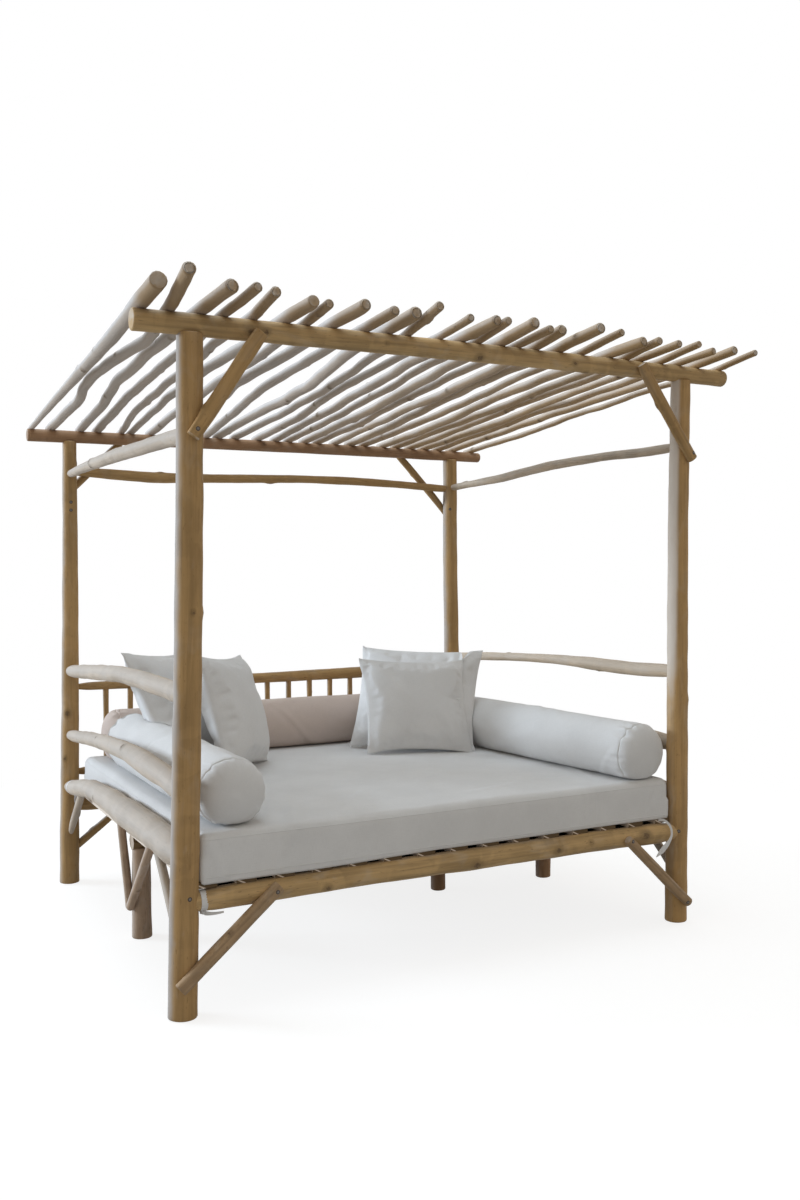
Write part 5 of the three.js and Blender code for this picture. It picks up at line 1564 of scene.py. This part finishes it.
class DAYBED_OT_fittings(bpy.types.Operator):
    """Make the sunk screws of the frame and the ties of the mattress"""
    bl_idname = "daybed.fittings"
    bl_label = "Screws and Ties"

    def execute(self, context):
        material, g = new_material("sunk_screw")
        rim = g.attribute("rim", "Fac")
        base = g.mixed(rim, (0.035, 0.022, 0.014), (0.15, 0.13, 0.11))
        g.surface(Base_Color=base, Roughness=0.55, Metallic=rim * 0.6)
        MATERIALS["screw"] = material
        parts = []
        for node, share, facing in SCREWS:
            centres, _ = trace(node)
            run = np.concatenate([[0], np.cumsum(np.linalg.norm(np.diff(centres, axis=0), axis=1))])
            place = [np.interp(share * run[-1], run, centres[:, k]) for k in range(3)]
            log = bpy.data.objects[f"{node}_log"]
            outside = Vector(place) + Vector(facing).normalized() * 0.07
            hit, spot, normal, _ = log.ray_cast(outside, -Vector(facing).normalized())
            if not hit:
                raise RuntimeError(f"the screw of {node} misses its log")
            facing = np.array(facing) * 0.4 + np.array(normal)
            profile = ((0.0072, -0.003), (0.0072, 0.0004), (0.0064, 0.0008), (0.0042, 0.0006),
                       (0.0038, 0.0014), (0.002, 0.0018))
            points, quads, fan, _ = turned(profile, np.array(spot), facing)
            height = np.repeat([0, 0, 0, 0.3, 1, 1], 16)
            parts.append((points, quads, fan, {"rim": np.concatenate([height, [1, 0]])}))
        points, quads, fan, facts = joined(parts)
        finished("frame_screws", points, [quads, fan], "screw", facts=facts)

        knots = {}
        ties = [("right_front_tie", "front_bed_rail_log", RIGHT_TIE, facing_front(RIGHT_TIE),
                 RIGHT_TIE_WIDTHS)]
        for name, (rail, centre, axis, start, end, width) in TIE_LOOPS.items():
            loop = round_loop(bpy.data.objects[rail], centre, axis, start, end)
            tail = loop[-1] + TIE_TAILS[name]
            path = np.concatenate([loop, tail])
            across = np.concatenate([
                np.repeat(np.eye(3)[axis][None], len(loop), axis=0), -facing_front(tail)])
            widths = np.concatenate([
                np.full(len(loop), width), np.linspace(0.75 * width, 0.3 * width, len(tail))])
            ties.append((name, rail, path, across, widths))
            knots[name] = loop[-1] + (tail[0] - loop[-1]) * 0.6
        for name, rail, path, across, wide in ties:
            points, quads, uv, length = ribbon_surface(path, across, wide)
            faces = [quads]
            if name in knots:
                ball, four, three, ball_uv = knot_ball(knots[name], 0.0075)
                faces = [quads, four + len(points), three + len(points)]
                points, uv = np.concatenate([points, ball]), np.concatenate([uv, ball_uv])
            piece = finished(name, points, faces, "white", uv=uv)
        return {"FINISHED"}


# Stage


class DAYBED_OT_stage(bpy.types.Operator):
    """Set up the floor, the lamps, the sky, the camera and a black card of painted shade under the slats"""
    bl_idname = "daybed.stage"
    bl_label = "Stage"

    def execute(self, context):
        scene = context.scene
        stage = scene.daybed_stage
        scene.view_settings.view_transform = "Standard"

        material, g = new_material("studio_floor")
        eye = g.node("ShaderNodeLightPath", {}, out="Is Camera Ray")
        glossy = g.node("ShaderNodeLightPath", {}, out="Is Glossy Ray")
        through = g.node("ShaderNodeLightPath", {}, out="Is Transmission Ray")
        seen = eye.most(glossy).most(through)
        plain = g.node("ShaderNodeBsdfDiffuse", {}, Color=(0.5, 0.5, 0.5, 1))
        veiled = g.node("ShaderNodeBsdfDiffuse", {}, Color=(0.28, 0.28, 0.28, 1))
        glow = g.node("ShaderNodeEmission", {}, Color=(1, 1, 1, 1), Strength=0.815)
        near = g.node("ShaderNodeAddShader", {}, veiled, glow)
        far = g.node("ShaderNodeEmission", {}, Color=(1, 1, 1, 1), Strength=1.0)
        away = g.node("ShaderNodeVectorMath", {"operation": "LENGTH"}, g.place(), out=1)
        bright = g.node("ShaderNodeMixShader", {}, away.between(1.5, 3.6), near, far)
        mix = g.node("ShaderNodeMixShader", {}, seen, plain, bright)
        g.node("ShaderNodeOutputMaterial", {}, mix)
        mesh = bpy.data.meshes.new("studio_floor")
        side = 40.0
        mesh.from_pydata([(-side, -side, -0.0005), (side, -side, -0.0005), (side, side, -0.0005),
                          (-side, side, -0.0005)], [], [(0, 1, 2, 3)])
        mesh.materials.append(material)
        floor = bpy.data.objects.new("studio_floor", mesh)
        scene.collection.objects.link(floor)

        # A black card under the front of the slats: painted shade under the bed, so the glowing floor does not
        # show between the slats.
        card_material, g = new_material("painted_shade_card")
        g.surface(Base_Color=(0.012, 0.009, 0.007, 1.0), Roughness=0.95, Specular_IOR_Level=0.1)
        low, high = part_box("slat_deck")
        level = SLAT_TOP - 0.030
        card_mesh = bpy.data.meshes.new("shade_card")
        card_mesh.from_pydata([
            (low.x + 0.03, -0.684, level), (high.x - 0.03, -0.684, level),
            (high.x - 0.03, -0.34, level), (low.x + 0.03, -0.34, level),
        ], [], [(0, 1, 2, 3)])
        card_mesh.materials.append(card_material)
        card = bpy.data.objects.new("shade_card", card_mesh)
        scene.collection.objects.link(card)

        world = bpy.data.worlds.new("studio_sky")
        scene.world = world
        world.use_nodes = True
        g = Graph(world.node_tree)
        eye = g.node("ShaderNodeLightPath", {}, out="Is Camera Ray")
        glossy = g.node("ShaderNodeLightPath", {}, out="Is Glossy Ray")
        through = g.node("ShaderNodeLightPath", {}, out="Is Transmission Ray")
        seen = eye.most(glossy).most(through)
        dim = g.node("ShaderNodeBackground", {}, Color=(1.0, 0.94, 0.85, 1), Strength=stage.fill)
        white = g.node("ShaderNodeBackground", {}, Color=(1, 1, 1, 1), Strength=1.0)
        sky = g.node("ShaderNodeMixShader", {}, seen, dim, white)
        g.node("ShaderNodeOutputWorld", {}, sky)

        for name, place, aim, size, power, colour in (
            ("window", (-13.0, 9.0, 4.5), (0.0, 0.0, 0.9), (6.0, 4.0), stage.window, (0.75, 0.87, 1.0)),
            ("skylight", (-0.6, 0.4, 6.4), (0.0, 0.1, 0.5), (4.0, 4.0), stage.skylight,
             (0.74, 0.88, 1.0)),
            ("front", (4.5, -8.0, 4.0), (0.0, 0.0, 0.9), (3.0, 3.0), stage.front, (1.0, 0.96, 0.9)),
        ):
            lamp = bpy.data.lights.new(name, "AREA")
            lamp.shape = "RECTANGLE"
            lamp.size, lamp.size_y = size
            lamp.energy = power
            lamp.color = colour
            lamp_object = bpy.data.objects.new(name, lamp)
            scene.collection.objects.link(lamp_object)
            lamp_object.location = place
            towards = Vector(aim) - Vector(place)
            lamp_object.rotation_euler = towards.to_track_quat("-Z", "Y").to_euler()

        yaw, pitch, roll = (math.radians(value) for value in (27.88, -1.68, -0.268))
        ahead = np.array([math.sin(yaw) * math.cos(pitch), math.cos(yaw) * math.cos(pitch), math.sin(pitch)])
        right = np.array([math.cos(yaw), -math.sin(yaw), 0.0])
        above = np.cross(right, ahead)
        right, above = (math.cos(roll) * right + math.sin(roll) * above,
                        -math.sin(roll) * right + math.cos(roll) * above)
        camera = bpy.data.cameras.new("camera")
        camera.sensor_fit = "AUTO"
        camera.sensor_width = 36.0
        camera.lens = stage.lens
        camera.clip_start, camera.clip_end = 0.1, 100.0
        camera_object = bpy.data.objects.new("camera", camera)
        scene.collection.objects.link(camera_object)
        turn = Matrix((right, above, -ahead)).transposed()
        camera_object.matrix_world = Matrix.Translation((-2.04265, -4.08379, 1.3982)) @ turn.to_4x4()
        scene.camera = camera_object
        return {"FINISHED"}


class DAYBED_PT_panel(bpy.types.Panel):
    """The daybed's sizes, colours and pieces"""
    bl_label = "Daybed"
    bl_idname = "DAYBED_PT_panel"
    bl_space_type = "VIEW_3D"
    bl_region_type = "UI"
    bl_category = "Daybed"

    def draw(self, context):
        for name in ("daybed_wood", "daybed_cushions", "daybed_stage"):
            group = getattr(context.scene, name)
            box = self.layout.box()
            for prop in type(group).__annotations__:
                box.prop(group, prop)
        for operator in OPERATORS:
            self.layout.operator(operator.bl_idname)


SETTINGS = {
    "daybed_wood": DAYBED_PG_wood,
    "daybed_cushions": DAYBED_PG_cushions,
    "daybed_stage": DAYBED_PG_stage,
}
OPERATORS = (
    DAYBED_OT_stage,
    DAYBED_OT_posts,
    DAYBED_OT_rails,
    DAYBED_OT_braces,
    DAYBED_OT_canopy,
    DAYBED_OT_backrest,
    DAYBED_OT_mattress,
    DAYBED_OT_bolsters,
    DAYBED_OT_pillows,
    DAYBED_OT_fittings,
)


def register():
    for group in (*SETTINGS.values(), *OPERATORS, DAYBED_PT_panel):
        bpy.utils.register_class(group)
    for name, group in SETTINGS.items():
        setattr(bpy.types.Scene, name, PointerProperty(type=group))


def unregister():
    for name in SETTINGS:
        delattr(bpy.types.Scene, name)
    for group in reversed((*SETTINGS.values(), *OPERATORS, DAYBED_PT_panel)):
        bpy.utils.unregister_class(group)


def main():
    register()
    make_materials()
    for operator in OPERATORS:
        family, name = operator.bl_idname.split(".")
        getattr(getattr(bpy.ops, family), name)()


if __name__ == "__main__":
    main()
